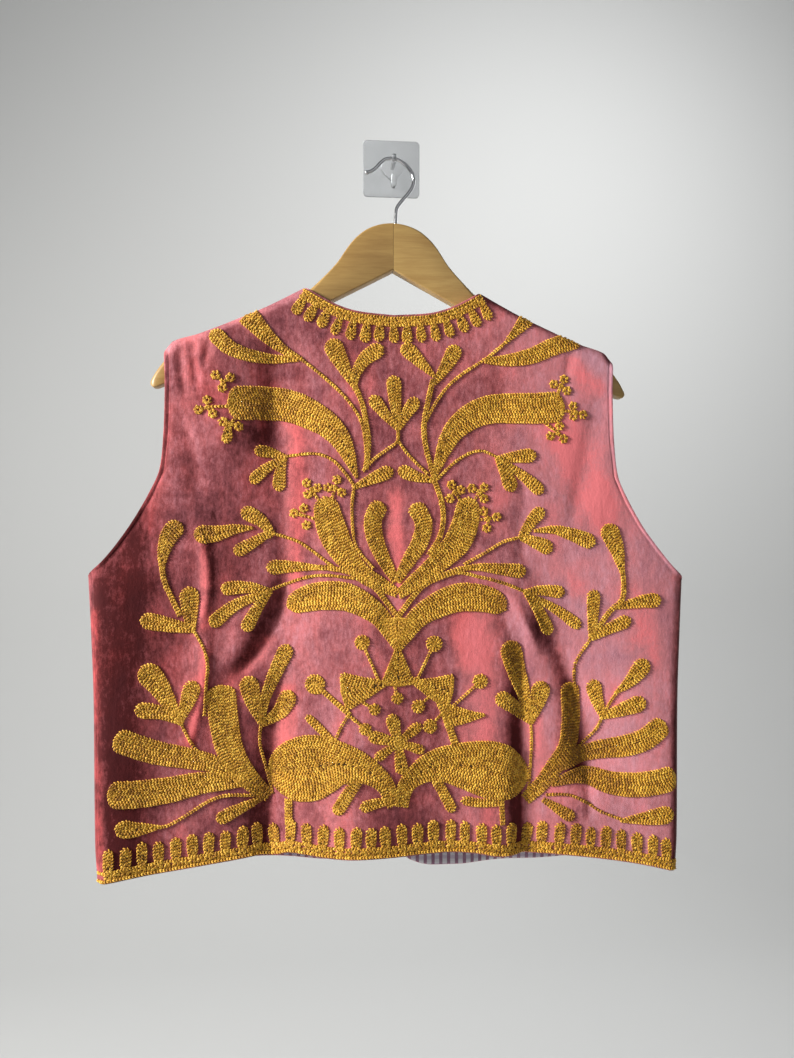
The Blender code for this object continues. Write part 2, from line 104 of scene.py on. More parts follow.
def along(table: Sequence[Place], place: float) -> float:
    """Read a two-column table at a place, on a smooth curve through its rows.

    Args:
        table: Rows of (where, size), in rising order of where.
        place: Where to read it.

    Returns:
        The size at that place.
    """
    last = len(table) - 2
    index = 0
    while index < last and place > table[index + 1][0]:
        index += 1
    (x0, y0), (x1, y1) = table[index], table[index + 1]
    span = x1 - x0
    before = after = (y1 - y0) / span
    if index > 0:
        before = (y1 - table[index - 1][1]) / (x1 - table[index - 1][0])
    if index < last:
        after = (table[index + 2][1] - y0) / (table[index + 2][0] - x0)
    t = min(max((place - x0) / span, 0.0), 1.0)
    return ((2 * t**3 - 3 * t**2 + 1) * y0 + (t**3 - 2 * t**2 + t) * span * before
            + (3 * t**2 - 2 * t**3) * y1 + (t**3 - t**2) * span * after)


def curve_through(points: Sequence[Sequence[float]], steps: int) -> list[tuple[float, ...]]:
    """Points of a smooth curve through the given ones.

    Args:
        points: Places that the curve passes, of any dimension.
        steps: Pieces between two of them.

    Returns:
        The curve's points, with the given ones among them.
    """
    out = []
    for i in range(len(points) - 1):
        p0 = points[max(i - 1, 0)]
        p1, p2 = points[i], points[i + 1]
        p3 = points[min(i + 2, len(points) - 1)]
        for k in range(steps):
            t = k / steps
            out.append(tuple(
                0.5 * (2 * b + (c - a) * t + (2 * a - 5 * b + 4 * c - d) * t**2
                       + (3 * b - a - 3 * c + d) * t**3)
                for a, b, c, d in zip(p0, p1, p2, p3)))
    out.append(tuple(points[-1]))
    return out


def evenly(points: Sequence[Place], step: float) -> list[Place]:
    """A line's points again, at even distances of about one step.

    Args:
        points: The line's points.
        step: The distance.

    Returns:
        The new points.
    """
    lengths = [0.0]
    for (x0, z0), (x1, z1) in zip(points, points[1:]):
        lengths.append(lengths[-1] + math.hypot(x1 - x0, z1 - z0))
    count = max(round(lengths[-1] / step), 1)
    out = []
    index = 0
    for k in range(count + 1):
        goal = lengths[-1] * k / count
        while index < len(points) - 2 and lengths[index + 1] < goal:
            index += 1
        part = (goal - lengths[index]) / max(lengths[index + 1] - lengths[index], 1e-9)
        (x0, z0), (x1, z1) = points[index], points[index + 1]
        out.append((lerp(x0, x1, part), lerp(z0, z1, part)))
    return out


def distance_to_line(points: Sequence[Place], x: float, z: float) -> float:
    """Shortest distance from (x, z) to the line through the points.

    Args:
        points: The line's points.
        x: The place's x.
        z: The place's z.

    Returns:
        The distance.
    """
    best = math.inf
    for (x0, z0), (x1, z1) in zip(points, points[1:]):
        dx, dz = x1 - x0, z1 - z0
        t = min(max(((x - x0) * dx + (z - z0) * dz) / (dx * dx + dz * dz), 0.0), 1.0)
        best = min(best, math.hypot(x - x0 - dx * t, z - z0 - dz * t))
    return best


# ---- finishes

class Graph:
    """A node tree while it is put together."""

    def __init__(self, tree: bpy.types.NodeTree) -> None:
        """Take the tree to work on."""
        self.tree = tree

    def add(self, kind: str, inputs: Optional[dict[Any, Any]] = None,
            **settings: Any) -> bpy.types.Node:
        """Add a node.

        Args:
            kind: Blender's name for the type of node.
            inputs: Values of its sockets, or other nodes' outputs to link to them.
            **settings: Values of its own properties.

        Returns:
            The new node.
        """
        node = self.tree.nodes.new(kind)
        for name, value in settings.items():
            setattr(node, name, value)
        self.feed(node, inputs or {})
        return node

    def feed(self, node: bpy.types.Node, inputs: dict[Any, Any]) -> None:
        """Give a node's sockets their values, or link other nodes' outputs to them.

        Args:
            node: The node.
            inputs: Values and outputs, by the socket's name or number.
        """
        for key, value in inputs.items():
            if isinstance(value, Socket):
                self.tree.links.new(value, node.inputs[key])
            else:
                node.inputs[key].default_value = value

    def painted(self, name: str) -> Socket:
        """A mesh attribute's value in a material."""
        return self.add("ShaderNodeAttribute", attribute_name=name).outputs["Fac"]

    def stored(self, name: str, kind: str) -> Socket:
        """A point attribute's value in a geometry tree."""
        node = self.add("GeometryNodeInputNamedAttribute", {"Name": name}, data_type=kind)
        return next(item for item in node.outputs if item.enabled and item.name == "Attribute")

    def object_place(self, scale: Place3 = (1.0, 1.0, 1.0),
                     turn: Place3 = (0.0, 0.0, 0.0)) -> Socket:
        """Object coordinates, stretched and turned.

        Args:
            scale: The stretch along each axis.
            turn: The turn about each axis, in radians.

        Returns:
            The coordinates.
        """
        place = self.add("ShaderNodeTexCoord").outputs["Object"]
        mapping = self.add("ShaderNodeMapping", {"Vector": place, "Scale": scale, "Rotation": turn})
        return mapping.outputs["Vector"]

    def noise(self, place: Socket, scale: float, detail: float = 2.0,
              roughness: float = 0.5, distortion: float = 0.0) -> Socket:
        """A noise texture's value, 0 to 1.

        Args:
            place: The coordinates.
            scale: The texture's scale.
            detail: Its detail.
            roughness: Its roughness.
            distortion: Its distortion.

        Returns:
            The value.
        """
        node = self.add("ShaderNodeTexNoise", {
            "Vector": place, "Scale": scale, "Detail": detail, "Roughness": roughness,
            "Distortion": distortion})
        return node.outputs["Fac"]

    def maths(self, operation: str, first: Any, second: Any = 0.0,
              third: Any = 0.0, clamp: bool = False) -> Socket:
        """A Math node's result.

        Args:
            operation: The node's operation.
            first: Its first input.
            second: Its second input.
            third: Its third input.
            clamp: Whether the result is held between 0 and 1.

        Returns:
            The result.
        """
        node = self.add("ShaderNodeMath", {0: first, 1: second, 2: third},
                        operation=operation, use_clamp=clamp)
        return node.outputs[0]

    def total(self, parts: Sequence[tuple[Socket, float]], start: float) -> Socket:
        """Sum of values, each with its own weight, from a start.

        Args:
            parts: The values and their weights.
            start: The start.

        Returns:
            The sum.
        """
        result: Any = start
        for socket, weight in parts:
            result = self.maths("MULTIPLY_ADD", socket, weight, result)
        return result

    def ramp(self, fac: Socket,
             stops: Sequence[tuple[float, Colour]]) -> Socket:
        """Colours by value: rows of (value, colour).

        Args:
            fac: The value.
            stops: The rows.

        Returns:
            The colour.
        """
        node = self.add("ShaderNodeValToRGB", {"Fac": fac})
        elements = node.color_ramp.elements
        while len(elements) < len(stops):
            elements.new(0.5)
        for element, (value, colour) in zip(elements, stops):
            element.position = value
            element.color = (*colour, 1.0)
        return node.outputs["Color"]

    def mixed(self, fac: Any, first: Any, second: Any, blend: str = "MIX") -> Socket:
        """Blend two colours.

        Args:
            fac: The second one's share.
            first: The first colour, or a socket that gives it.
            second: The second colour, or a socket that gives it.
            blend: Blender's name for the way they blend.

        Returns:
            The blended colour.
        """
        node = self.add("ShaderNodeMix", data_type="RGBA", blend_type=blend)
        sockets = [item for item in node.inputs if item.enabled]
        for socket, value in zip(sockets, (fac, first, second)):
            if isinstance(value, Socket):
                self.tree.links.new(value, socket)
            else:
                socket.default_value = value if isinstance(value, float) else (*value, 1.0)
        return next(item for item in node.outputs if item.enabled)

    def bump(self, heights: Sequence[tuple[Socket, float, float]]) -> Socket:
        """Bumps laid one on another: rows of (height, strength, distance in metres).

        Args:
            heights: The rows.

        Returns:
            The normal.
        """
        normal: Optional[Socket] = None
        for height, strength, distance in heights:
            inputs: dict[Any, Any] = {"Height": height, "Strength": strength, "Distance": distance}
            if normal is not None:
                inputs["Normal"] = normal
            normal = self.add("ShaderNodeBump", inputs).outputs["Normal"]
        return normal


@dataclass(frozen=True)
class Finish:
    """What a surface is made of. Each kind of finish fills in its own nodes."""

    name: str

    def build(self) -> bpy.types.Material:
        """Make the material, once for the whole file.

        Returns:
            The material.
        """
        ready = bpy.data.materials.get(self.name)
        if ready is not None:
            return ready
        material = bpy.data.materials.new(self.name)
        material.use_nodes = True
        graph = Graph(material.node_tree)
        self.dress(graph, material.node_tree.nodes["Principled BSDF"])
        return material

    def dress(self, graph: Graph, shader: bpy.types.Node) -> None:
        """Give the shader its values and textures."""
        raise NotImplementedError


@dataclass(frozen=True)
class Velvet(Finish):
    """Cotton velvet with a mottled pile that turns from dusty rose to coral, under painted shade and painted
    light that the mesh carries.
    """

    dusk: Colour = (0.46, 0.165, 0.195)
    rose: Colour = (0.60, 0.18, 0.19)
    coral: Colour = (0.83, 0.175, 0.18)
    frost: Colour = (0.64, 0.285, 0.335)
    # These four multiply the colour as painted shade and painted light: darkest where folds turn from the
    # key light, brighter than the cloth where they face it.
    shade_darkest: Colour = (0.15, 0.052, 0.055)
    shade_half: Colour = (0.52, 0.37, 0.375)
    unshaded: Colour = (1.0, 1.0, 1.0)
    painted_light_frost: Colour = (1.12, 1.3, 1.36)

    def dress(self, graph: Graph, shader: bpy.types.Node) -> None:
        """Mottle, streaks and grain for the pile, painted shade and light from the mesh, and a sheen.

        Args:
            graph: The graph to which the nodes are added.
            shader: The graph's shader node.
        """
        place = graph.object_place()
        coral_and_light, painted_shading = graph.painted("coral_and_light"), graph.painted("painted_shading")
        mottle = graph.noise(place, 46.0, 5.0, 0.62, 0.4)
        streaks = graph.noise(graph.object_place((1.0, 1.0, 0.16)), 62.0, 4.0, 0.6, 0.3)
        grain = graph.noise(place, 780.0, 3.0, 0.7)
        cloud = graph.noise(place, 15.0, 4.0, 0.55, 1.0)
        speck = graph.noise(graph.object_place((1.0, 1.0, 0.5)), 330.0, 3.0, 0.7)
        veil = graph.noise(graph.object_place((1.0, 1.0, 0.3)), 38.0, 7.0, 0.72, 0.8)
        pile = graph.noise(place, 1250.0, 3.0, 0.7)
        crush = graph.noise(graph.object_place((1.0, 1.0, 0.5)), 105.0, 5.0, 0.62)
        value = graph.total([(cloud, 1.1), (mottle, 0.8), (streaks, 0.8), (grain, 0.5),
                             (speck, 0.5), (coral_and_light, 0.5)], -1.37)
        base = graph.ramp(value, [(0.12, self.dusk), (0.5, self.rose), (0.95, self.coral)])
        veiled = graph.total([(veil, 2.8), (speck, 1.8), (grain, 0.6), (coral_and_light, -1.5)], -2.35)
        colour = graph.mixed(graph.maths("MULTIPLY", veiled, 0.6, clamp=True), base, self.frost)
        # Painted shade and light: the painted shading, the coral bands and the mottle pick the multiplier.
        mottle_and_shading = graph.total([(cloud, 0.3), (mottle, 0.6), (streaks, 0.4), (speck, 0.5),
                              (painted_shading, 1.0), (grain, 0.25), (coral_and_light, 0.16)], -0.75)
        shade = graph.ramp(mottle_and_shading, [(0.06, self.shade_darkest), (0.36, self.shade_half),
                                    (0.68, self.unshaded), (0.98, self.painted_light_frost)])
        relief = [(crush, 0.36, 0.0018), (speck, 0.25, 0.0008), (pile, 0.4, 0.0004)]
        graph.feed(shader, {
            "Base Color": graph.mixed(1.0, colour, shade, "MULTIPLY"), "Roughness": 0.92,
            "Specular IOR Level": 0.22, "Sheen Weight": 0.4, "Sheen Roughness": 0.32,
            "Sheen Tint": (1.0, 0.64, 0.64, 1.0), "Normal": graph.bump(relief)})


@dataclass(frozen=True)
class Yarn(Finish):
    """Twisted embroidery yarn, a little different from stitch to stitch."""

    deep: Colour = (0.36, 0.15, 0.007)
    body: Colour = (0.67, 0.340, 0.022)
    bright: Colour = (0.98, 0.60, 0.075)
    fibre_depth: float = 0.6

    def dress(self, graph: Graph, shader: bpy.types.Node) -> None:
        """Tone from each stitch's random value less the painted shade laid on it, fibres from a fine noise.

        Args:
            graph: The graph to which the nodes are added.
            shader: The graph's shader node.
        """
        place = graph.object_place()
        tone_and_shade = graph.painted("tone_and_shade")
        patches = graph.noise(place, 90.0, 2.0)
        fibres = graph.noise(place, 2300.0, 2.0, 0.6)
        # The stitch value is random tone, darkened by painted shade where the yarn lies in shade.
        value = graph.total([(tone_and_shade, 0.5), (patches, 0.35), (fibres, 0.35)], -0.04)
        colour = graph.ramp(value, [(0.22, self.deep), (0.52, self.body), (0.88, self.bright)])
        graph.feed(shader, {
            "Base Color": colour, "Roughness": 0.55, "Specular IOR Level": 0.42,
            "Sheen Weight": 0.15, "Sheen Roughness": 0.4,
            "Normal": graph.bump([(fibres, self.fibre_depth, 0.0003)])})


@dataclass(frozen=True)
class CheckedCotton(Finish):
    """White plain-weave cotton with purple upright stripes and faint level ones."""

    ground: Colour = (0.74, 0.71, 0.74)
    purple: Colour = (0.26, 0.09, 0.17)
    faint: Colour = (0.60, 0.50, 0.60)
    pitch: float = 0.0076
    stripe: float = 0.42

    def bars(self, graph: Graph, axis: str, share: float) -> Socket:
        """Stripes across one axis, 1 on a stripe and 0 beside it.

        Args:
            graph: The graph to which the nodes are added.
            axis: The axis.
            share: The stripes' share of the cloth.

        Returns:
            The value.
        """
        split = graph.add("ShaderNodeSeparateXYZ", {0: graph.object_place()})
        steps = graph.maths("MULTIPLY_ADD", split.outputs[axis], 1.0 / self.pitch, 40.0)
        part = graph.maths("FRACT", steps)
        return graph.maths("LESS_THAN", part, share)

    def dress(self, graph: Graph, shader: bpy.types.Node) -> None:
        """Two sets of stripes and a plain weave.

        Args:
            graph: The graph to which the nodes are added.
            shader: The graph's shader node.
        """
        level = graph.mixed(self.bars(graph, "Z", 0.45), self.ground, self.faint)
        check = graph.mixed(self.bars(graph, "X", self.stripe), level, self.purple)
        fade = graph.noise(graph.object_place(), 260.0, 3.0, 0.6)
        worn = graph.mixed(graph.maths("MULTIPLY", fade, 0.34), check, self.ground)
        across = graph.noise(graph.object_place((1.0, 1.0, 0.12)), 2600.0, 1.0)
        down = graph.noise(graph.object_place((0.12, 1.0, 1.0)), 2600.0, 1.0)
        graph.feed(shader, {
            "Base Color": worn, "Roughness": 0.85, "Specular IOR Level": 0.2,
            "Normal": graph.bump([(across, 0.35, 0.0003), (down, 0.35, 0.0003)])})


@dataclass(frozen=True)
class Wood(Finish):
    """Lacquered hardwood whose grain runs along the hanger's arm."""

    light: Colour = (0.56, 0.35, 0.14)
    dark: Colour = (0.36, 0.19, 0.065)
    grain_turn: float = 0.35

    def dress(self, graph: Graph, shader: bpy.types.Node) -> None:
        """Long grain, pores and a satin coat.

        Args:
            graph: The graph to which the nodes are added.
            shader: The graph's shader node.
        """
        turn = (0.0, self.grain_turn, 0.0)
        bands = graph.noise(graph.object_place((0.09, 0.6, 1.0), turn), 130.0, 4.0, 0.6, 0.7)
        pores = graph.noise(graph.object_place((0.05, 1.0, 1.0), turn), 950.0, 3.0, 0.7)
        cloud = graph.noise(graph.object_place(), 24.0, 2.0)
        value = graph.total([(bands, 0.8), (pores, 0.35), (cloud, 0.35)], -0.28)
        colour = graph.ramp(value, [(0.2, self.dark), (0.62, self.light)])
        graph.feed(shader, {
            "Base Color": colour, "Roughness": 0.48, "Coat Weight": 0.22, "Coat Roughness": 0.3,
            "Normal": graph.bump([(pores, 0.14, 0.0003), (bands, 0.08, 0.0006)])})


@dataclass(frozen=True)
class Chrome(Finish):
    """Plated steel wire."""

    colour: Colour = (0.62, 0.62, 0.63)

    def dress(self, graph: Graph, shader: bpy.types.Node) -> None:
        """Bright metal with faint wear.

        Args:
            graph: The graph to which the nodes are added.
            shader: The graph's shader node.
        """
        wear = graph.noise(graph.object_place(), 420.0, 3.0)
        tint = graph.ramp(wear, [(0.3, tuple(c * 0.82 for c in self.colour)), (0.7, self.colour)])
        rough = graph.maths("MULTIPLY_ADD", wear, 0.14, 0.1)
        graph.feed(shader, {"Base Color": tint, "Roughness": rough, "Metallic": 1.0})


@dataclass(frozen=True)
class ClearPlastic(Finish):
    """Clear moulded plastic with a slight haze."""

    colour: Colour = (0.66, 0.675, 0.69)

    def dress(self, graph: Graph, shader: bpy.types.Node) -> None:
        """Glass-like, with a faint haze in its gloss.

        Args:
            graph: The graph to which the nodes are added.
            shader: The graph's shader node.
        """
        haze = graph.noise(graph.object_place(), 500.0, 3.0)
        graph.feed(shader, {
            "Base Color": (*self.colour, 1.0), "Transmission Weight": 0.86, "IOR": 1.47,
            "Roughness": graph.maths("MULTIPLY_ADD", haze, 0.08, 0.02)})


@dataclass(frozen=True)
class Paint(Finish):
    """Plain matt paint, for the floor and the backdrop."""

    colour: Colour = (0.61, 0.615, 0.61)

    def dress(self, graph: Graph, shader: bpy.types.Node) -> None:
        """One matt colour."""
        graph.feed(shader, {"Base Color": (*self.colour, 1.0), "Roughness": 0.95,
                            "Specular IOR Level": 0.1})


VELVET = Velvet("rose_velvet")
YARN = Yarn("mustard_yarn")
# Dark yarn for the pads under the stitches: painted shade for the gaps between the rows.
UNDERLAY_SHADE = Yarn("mustard_underlay_shade", (0.12, 0.05, 0.01), (0.27, 0.135, 0.02), (0.40, 0.21, 0.03))
LINING = CheckedCotton("checked_cotton")
WOOD_LEFT = Wood("hanger_wood_left", (0.47, 0.285, 0.085), (0.31, 0.165, 0.042), 0.42)
WOOD_RIGHT = Wood("hanger_wood_right", (0.52, 0.33, 0.105), (0.35, 0.19, 0.05), -0.42)
CHROME = Chrome("hook_chrome")
CLEAR = ClearPlastic("moulded_clear_plastic")
STUDIO = Paint("studio_paint")


# ---- pieces

def linked(name: str, data: Any) -> Item:
    """A new object in the scene that holds the data.

    Args:
        name: Its name.
        data: The data.

    Returns:
        The object.
    """
    item = bpy.data.objects.new(name, data)
    bpy.context.scene.collection.objects.link(item)
    return item


def file_piece(name: str, mesh: Mesh,
               replaces: Sequence[str] = ()) -> Item:
    """Make a mesh an object of the part.

    Args:
        name: The piece's name.
        mesh: Its finished mesh, in metres, in the part's own frame.
        replaces: The CAD nodes that it stands for.

    Returns:
        The object, riding on the part's only body.
    """
    item = linked(name, mesh)
    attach(item, BODY)
    if replaces:
        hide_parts(*replaces)
    LOG.info("%s: %d faces", name, len(mesh.polygons))
    return item


def mesh_from(name: str, points: Sequence[Vector], faces: Sequence[Sequence[int]],
              finishes: Sequence[Finish], slots: Optional[Sequence[int]] = None) -> Mesh:
    """Make a smooth-shaded mesh with its materials.

    Args:
        name: The mesh's name.
        points: Its vertices in metres.
        faces: Its faces, as indices into the points.
        finishes: The finishes, in the order of its material slots.
        slots: The material slot of each face, or None where all have the first.

    Returns:
        The mesh.
    """
    mesh = bpy.data.meshes.new(name)
    mesh.from_pydata(points, [], faces)
    for finish in finishes:
        mesh.materials.append(finish.build())
    if slots is not None:
        mesh.polygons.foreach_set("material_index", slots)
    mesh.shade_smooth()
    mesh.update()
    return mesh


def cleaned(mesh: Mesh, join: Optional[float] = None) -> Mesh:
    """Turn a mesh's faces outwards.

    Args:
        mesh: The mesh.
        join: Points nearer than this, in metres, become one first.

    Returns:
        The same mesh.
    """
    bm = bmesh.new()
    bm.from_mesh(mesh)
    if join is not None:
        bmesh.ops.remove_doubles(bm, verts=bm.verts, dist=join)
    bmesh.ops.recalc_face_normals(bm, faces=bm.faces)
    bm.to_mesh(mesh)
    bm.free()
    return mesh


def finished(mesh: Mesh, finish: Finish, sharp: Optional[float] = None) -> Mesh:
    """Give a mesh its only finish and smooth shading.

    Args:
        mesh: The mesh.
        finish: Its finish.
        sharp: Edges that turn more than this, in degrees, stay sharp.

    Returns:
        The same mesh.
    """
    mesh.materials.clear()
    mesh.materials.append(finish.build())
    mesh.shade_smooth()
    if sharp is not None:
        mesh.set_sharp_from_angle(angle=math.radians(sharp))
    return mesh


def grid_border(high: int, wide: int) -> list[tuple[int, int]]:
    """The border points of a grid in order round it, as (row, column).

    Args:
        high: How many rows the grid has.
        wide: How many points each row has.

    Returns:
        The points.
    """
    ring = [(0, k) for k in range(wide - 1)] + [(i, wide - 1) for i in range(high - 1)]
    ring += [(high - 1, k) for k in range(wide - 1, 0, -1)]
    return ring + [(i, 0) for i in range(high - 1, 0, -1)]


def grid_faces(high: int, wide: int, first: int, flip: bool) -> list[tuple[int, ...]]:
    """Faces of two grids of points, back to back: each cell's near one, then its far one.

    Args:
        high: Rows of points.
        wide: Points in a row.
        first: The near grid's first point. The far grid follows the near one.
        flip: Whether the near faces turn the other way round.

    Returns:
        The faces, as indices into the points.
    """
    faces = []
    for i in range(high - 1):
        for k in range(wide - 1):
            a = first + i * wide + k
            ring = (a, a + 1, a + 1 + wide, a + wide)
            ring = ring[::-1] if flip else ring
            faces += [ring, tuple(index + high * wide for index in reversed(ring))]
    return faces


def freed(source: Item, name: str) -> Mesh:
    """The evaluated mesh of a helper object, in place, and the helper removed.

    Args:
        source: The helper.
        name: The mesh's name.

    Returns:
        The mesh.
    """
    bpy.context.view_layer.update()
    evaluated = source.evaluated_get(bpy.context.evaluated_depsgraph_get())
    mesh = bpy.data.meshes.new_from_object(evaluated)
    mesh.transform(source.matrix_world)
    mesh.name = name
    bpy.data.objects.remove(source, do_unlink=True)
    return mesh


# ---- hung form

@dataclass(frozen=True)
class Fold:
    """A soft trough along a curved line through three places; a negative depth is a ridge.

    left and right are its reach to each side, start and end its depth at the top and the foot,
    hem says that it runs out at the hem at full depth, edge how round its bottom is (2 is soft,
    and nearer 1 is creased), and fade over what length it comes and goes at its ends.
    """

    name: str
    top: Place
    middle: Place
    low: Place
    left: float
    right: float
    start: float
    end: float
    hem: bool = False
    edge: float = 2.0
    fade: float = 34.0

    def depth(self, x: float, z: float) -> float:
        """Its depth at a place.

        Args:
            x: Distance from the middle, in millimetres.
            z: Height, in millimetres.

        Returns:
            The depth, in millimetres.
        """
        if z >= self.top[1] or (z <= self.low[1] and not self.hem):
            return 0.0
        fade = smooth((self.top[1] - z) / self.fade)
        if not self.hem:
            fade *= smooth((z - self.low[1]) / self.fade)
        span = self.top[1] - self.low[1]
        t = min((self.top[1] - z) / span, 1.0)
        middle = (self.top[1] - self.middle[1]) / span
        straight = lerp(self.top[0], self.low[0], middle)
        bend = (self.middle[0] - straight) / (middle * (1.0 - middle))
        away = x - (lerp(self.top[0], self.low[0], t) + bend * t * (1.0 - t))
        share = abs(away) / (self.left if away < 0.0 else self.right)
        if share > 3.2:
            return 0.0
        return lerp(self.start, self.end, t) * fade * math.exp(-share**self.edge)


@dataclass(frozen=True)
class SoftBand:
    """A soft band from one place down to another, that paints light or shade on velvet or yarn.

    Coral bands turn the pile to coral, partly as painted light on flanks that face the light;
    shade patches paint shade on the velvet or the yarn. A negative strength does the opposite.
    """

    top: Place
    low: Place
    reach: float
    strength: float

    def at(self, x: float, z: float) -> float:
        """How strong it is at a place."""
        away = distance_to_line((self.top, self.low), x, z) / self.reach
        return self.strength * math.exp(-away * away) if away < 3.0 else 0.0


BACK_FOLDS = (
    Fold("left_valley", (-104, -190), (-106, -440), (-112, -655), 92, 48, 2.5, 6.5, True),
    Fold("left_hem_trough", (-103, -480), (-113, -560), (-116, -655), 16, 15, 1.0, 4.0, True),
    Fold("left_yoke_swell", (-158, -146), (-156, -215), (-150, -300), 42, 28, -3.5, -4.5),
    Fold("left_chest_trough", (-102, -345), (-112, -443), (-149, -492), 12, 30, 1.2, 2.6),
    Fold("left_ridge", (-186, -335), (-173, -410), (-187, -535), 11, 12, -0.9, -1.3),
    Fold("left_fold_swell", (-262, -375), (-264, -500), (-262, -655), 14, 34, -4.5, -8.0, True),
    Fold("right_hem_trough", (120, -440), (123, -560), (125, -655), 11, 27, 1.5, 7.0, True),
    Fold("right_chest_trough", (118, -345), (164, -470), (188, -600), 16, 36, 0.8, 6.4),
    Fold("right_ridge", (104, -390), (120, -428), (140, -470), 9, 9, -1.5, -2.0),
    Fold("right_side_swell", (256, -340), (272, -480), (272, -655), 66, 30, -3.0, -9.5, True),
    Fold("centre_swell", (-40, -430), (-40, -560), (-42, -655), 58, 60, -1.0, -5.0, True),
)
BACK_CREASES = (
    Fold("left_step", (-110, -225), (-104, -330), (-103, -455), 22, 12, 1.0, 1.7, False, 1.4),
    Fold("left_yoke_stripe", (-112, -165), (-111, -225), (-109, -300), 13, 28, 2.2, 3.2, False,
         1.7),
    Fold("left_diagonal_crease", (-102, -392), (-110, -443), (-148, -490), 8, 4.5, 1.0, 2.0,
         False, 1.3, 20),
    Fold("left_pocket_ridge", (-126, -385), (-132, -440), (-170, -500), 18, 11, -0.8, -1.8),
    Fold("left_low_crease", (-100, -470), (-111, -555), (-113, -655), 9, 5, 1.0, 1.9, True, 1.3),
    Fold("right_low_crease", (118, -420), (120, -545), (122, -655), 9, 6, 1.0, 3.0, True, 1.4),
    Fold("right_diagonal", (122, -400), (152, -460), (180, -530), 11, 12, 0.5, 2.6, False, 1.4),
    Fold("right_chest_crease", (118, -310), (120, -352), (122, -395), 8, 7, 0.8, 1.6, False, 1.5),
    Fold("left_ridge_crest", (-178, -352), (-169, -397), (-177, -442), 2.8, 2.6, -1.2, -1.1,
         False, 1.7, 16),
    Fold("left_ridge_tail", (-172, -446), (-173, -495), (-190, -556), 2.8, 2.6, -1.1, -0.9,
         False, 1.7, 16),
    Fold("left_ridge_groove", (-194, -330), (-180, -395), (-186, -450), 6, 5, 0.8, 1.0, False,
         1.6),
    Fold("right_fan_crest", (104, -402), (119, -430), (140, -480), 4, 3.6, -0.8, -1.4, False, 1.7),
    Fold("right_fan_groove", (93, -402), (104, -436), (118, -478), 6, 5, 0.8, 1.8, False, 1.6),
    Fold("left_pucker_a", (-186, -172), (-184, -196), (-180, -228), 4, 4, 1.2, 1.0, False, 2.0,
         16),
    Fold("left_pucker_b", (-196, -180), (-194, -210), (-188, -240), 4.5, 3.5, 1.3, 0.9, False,
         2.0, 18),
    Fold("left_pucker_c", (-170, -176), (-172, -190), (-178, -208), 3.5, 3.5, 1.2, 0.8, False,
         2.0, 12),
    Fold("left_arm_crease", (-200, -235), (-186, -275), (-181, -335), 9, 7, 0.8, 1.2, False, 1.8),
    Fold("right_pucker", (170, -170), (168, -190), (160, -215), 4, 5, 1.0, 0.8, False, 2.0, 16),
    Fold("right_yoke_stripe", (100, -200), (104, -235), (102, -262), 14, 9, 1.0, 1.6, False, 1.8),
    Fold("right_arm_line", (92, -262), (118, -300), (122, -345), 10, 6, 0.8, 1.6, False, 1.6),
    Fold("centre_band", (-8, -300), (-6, -380), (-10, -470), 9, 10, 0.6, 1.4),
    Fold("centre_shallow", (40, -430), (44, -540), (46, -655), 46, 26, 0.6, 2.2, True),
    Fold("left_low_band", (-62, -480), (-66, -560), (-60, -655), 13, 13, 0.6, 1.6, True),
    Fold("short_hem_crease", (181, -560), (183, -590), (185, -625), 4, 5, 1.0, 2.2, False, 1.6,
         18),
    Fold("low_fan_crease", (168, -478), (173, -520), (176, -585), 7, 14, 1.0, 1.5, False, 1.6, 22),
    Fold("right_arm_slope", (196, -210), (182, -290), (168, -350), 9, 14, 1.0, 1.8),
)
FRONT_FOLDS = (
    Fold("soft_trough", (120, -260), (128, -450), (140, -672), 24, 24, 1.0, 3.0, True),
    Fold("side_trough", (226, -380), (222, -500), (214, -672), 18, 18, 1.0, 2.5, True),
)
FRONT_CREASES = (
    Fold("chest_crease", (70, -330), (76, -430), (70, -672), 12, 14, 1.0, 2.2, True),
    Fold("edge_crease", (34, -360), (30, -480), (34, -674), 9, 11, 0.6, 1.6, True),
    Fold("arm_crease", (206, -300), (190, -350), (176, -440), 8, 12, 1.2, 1.6, False, 1.7),
    Fold("low_crest", (178, -470), (182, -560), (180, -672), 9, 9, -0.8, -2.0, True),
)
# Coral bands on the velvet, partly painted light: most lie on fold flanks and crests that face the key
# light.
CORAL_AND_LIGHT_BANDS = (
    SoftBand((-90, -250), (-91, -400), 7.5, 0.7), SoftBand((2, -318), (2, -398), 7.0, 0.5),
    SoftBand((160, -252), (203, -336), 15.0, 1.6), SoftBand((236, -405), (246, -470), 11.0, 0.6),
    SoftBand((60, -428), (66, -470), 9.0, 0.8), SoftBand((155, -385), (172, -405), 9.0, 0.6),
    SoftBand((76, -440), (84, -540), 12.0, 0.8), SoftBand((132, -530), (141, -590), 7.0, 0.8),
    SoftBand((-100, -500), (-101, -560), 7.0, 0.8), SoftBand((-206, -250), (-225, -345), 10.0, 0.25),
    SoftBand((12, -600), (14, -655), 6.0, 0.5), SoftBand((88, -600), (88, -655), 6.0, 0.5),
    SoftBand((172, -192), (190, -212), 11.0, 0.9), SoftBand((-270, -430), (-268, -660), 5.0, 0.7),
    SoftBand((-116, -455), (-152, -492), 8.0, 0.5), SoftBand((150, -330), (152, -366), 9.0, 0.4),
    SoftBand((190, -182), (222, -212), 20.0, -0.45), SoftBand((-173, -370), (-173, -440), 4.0, 1.0),
    SoftBand((-172, -465), (-186, -545), 4.0, 0.9),
)
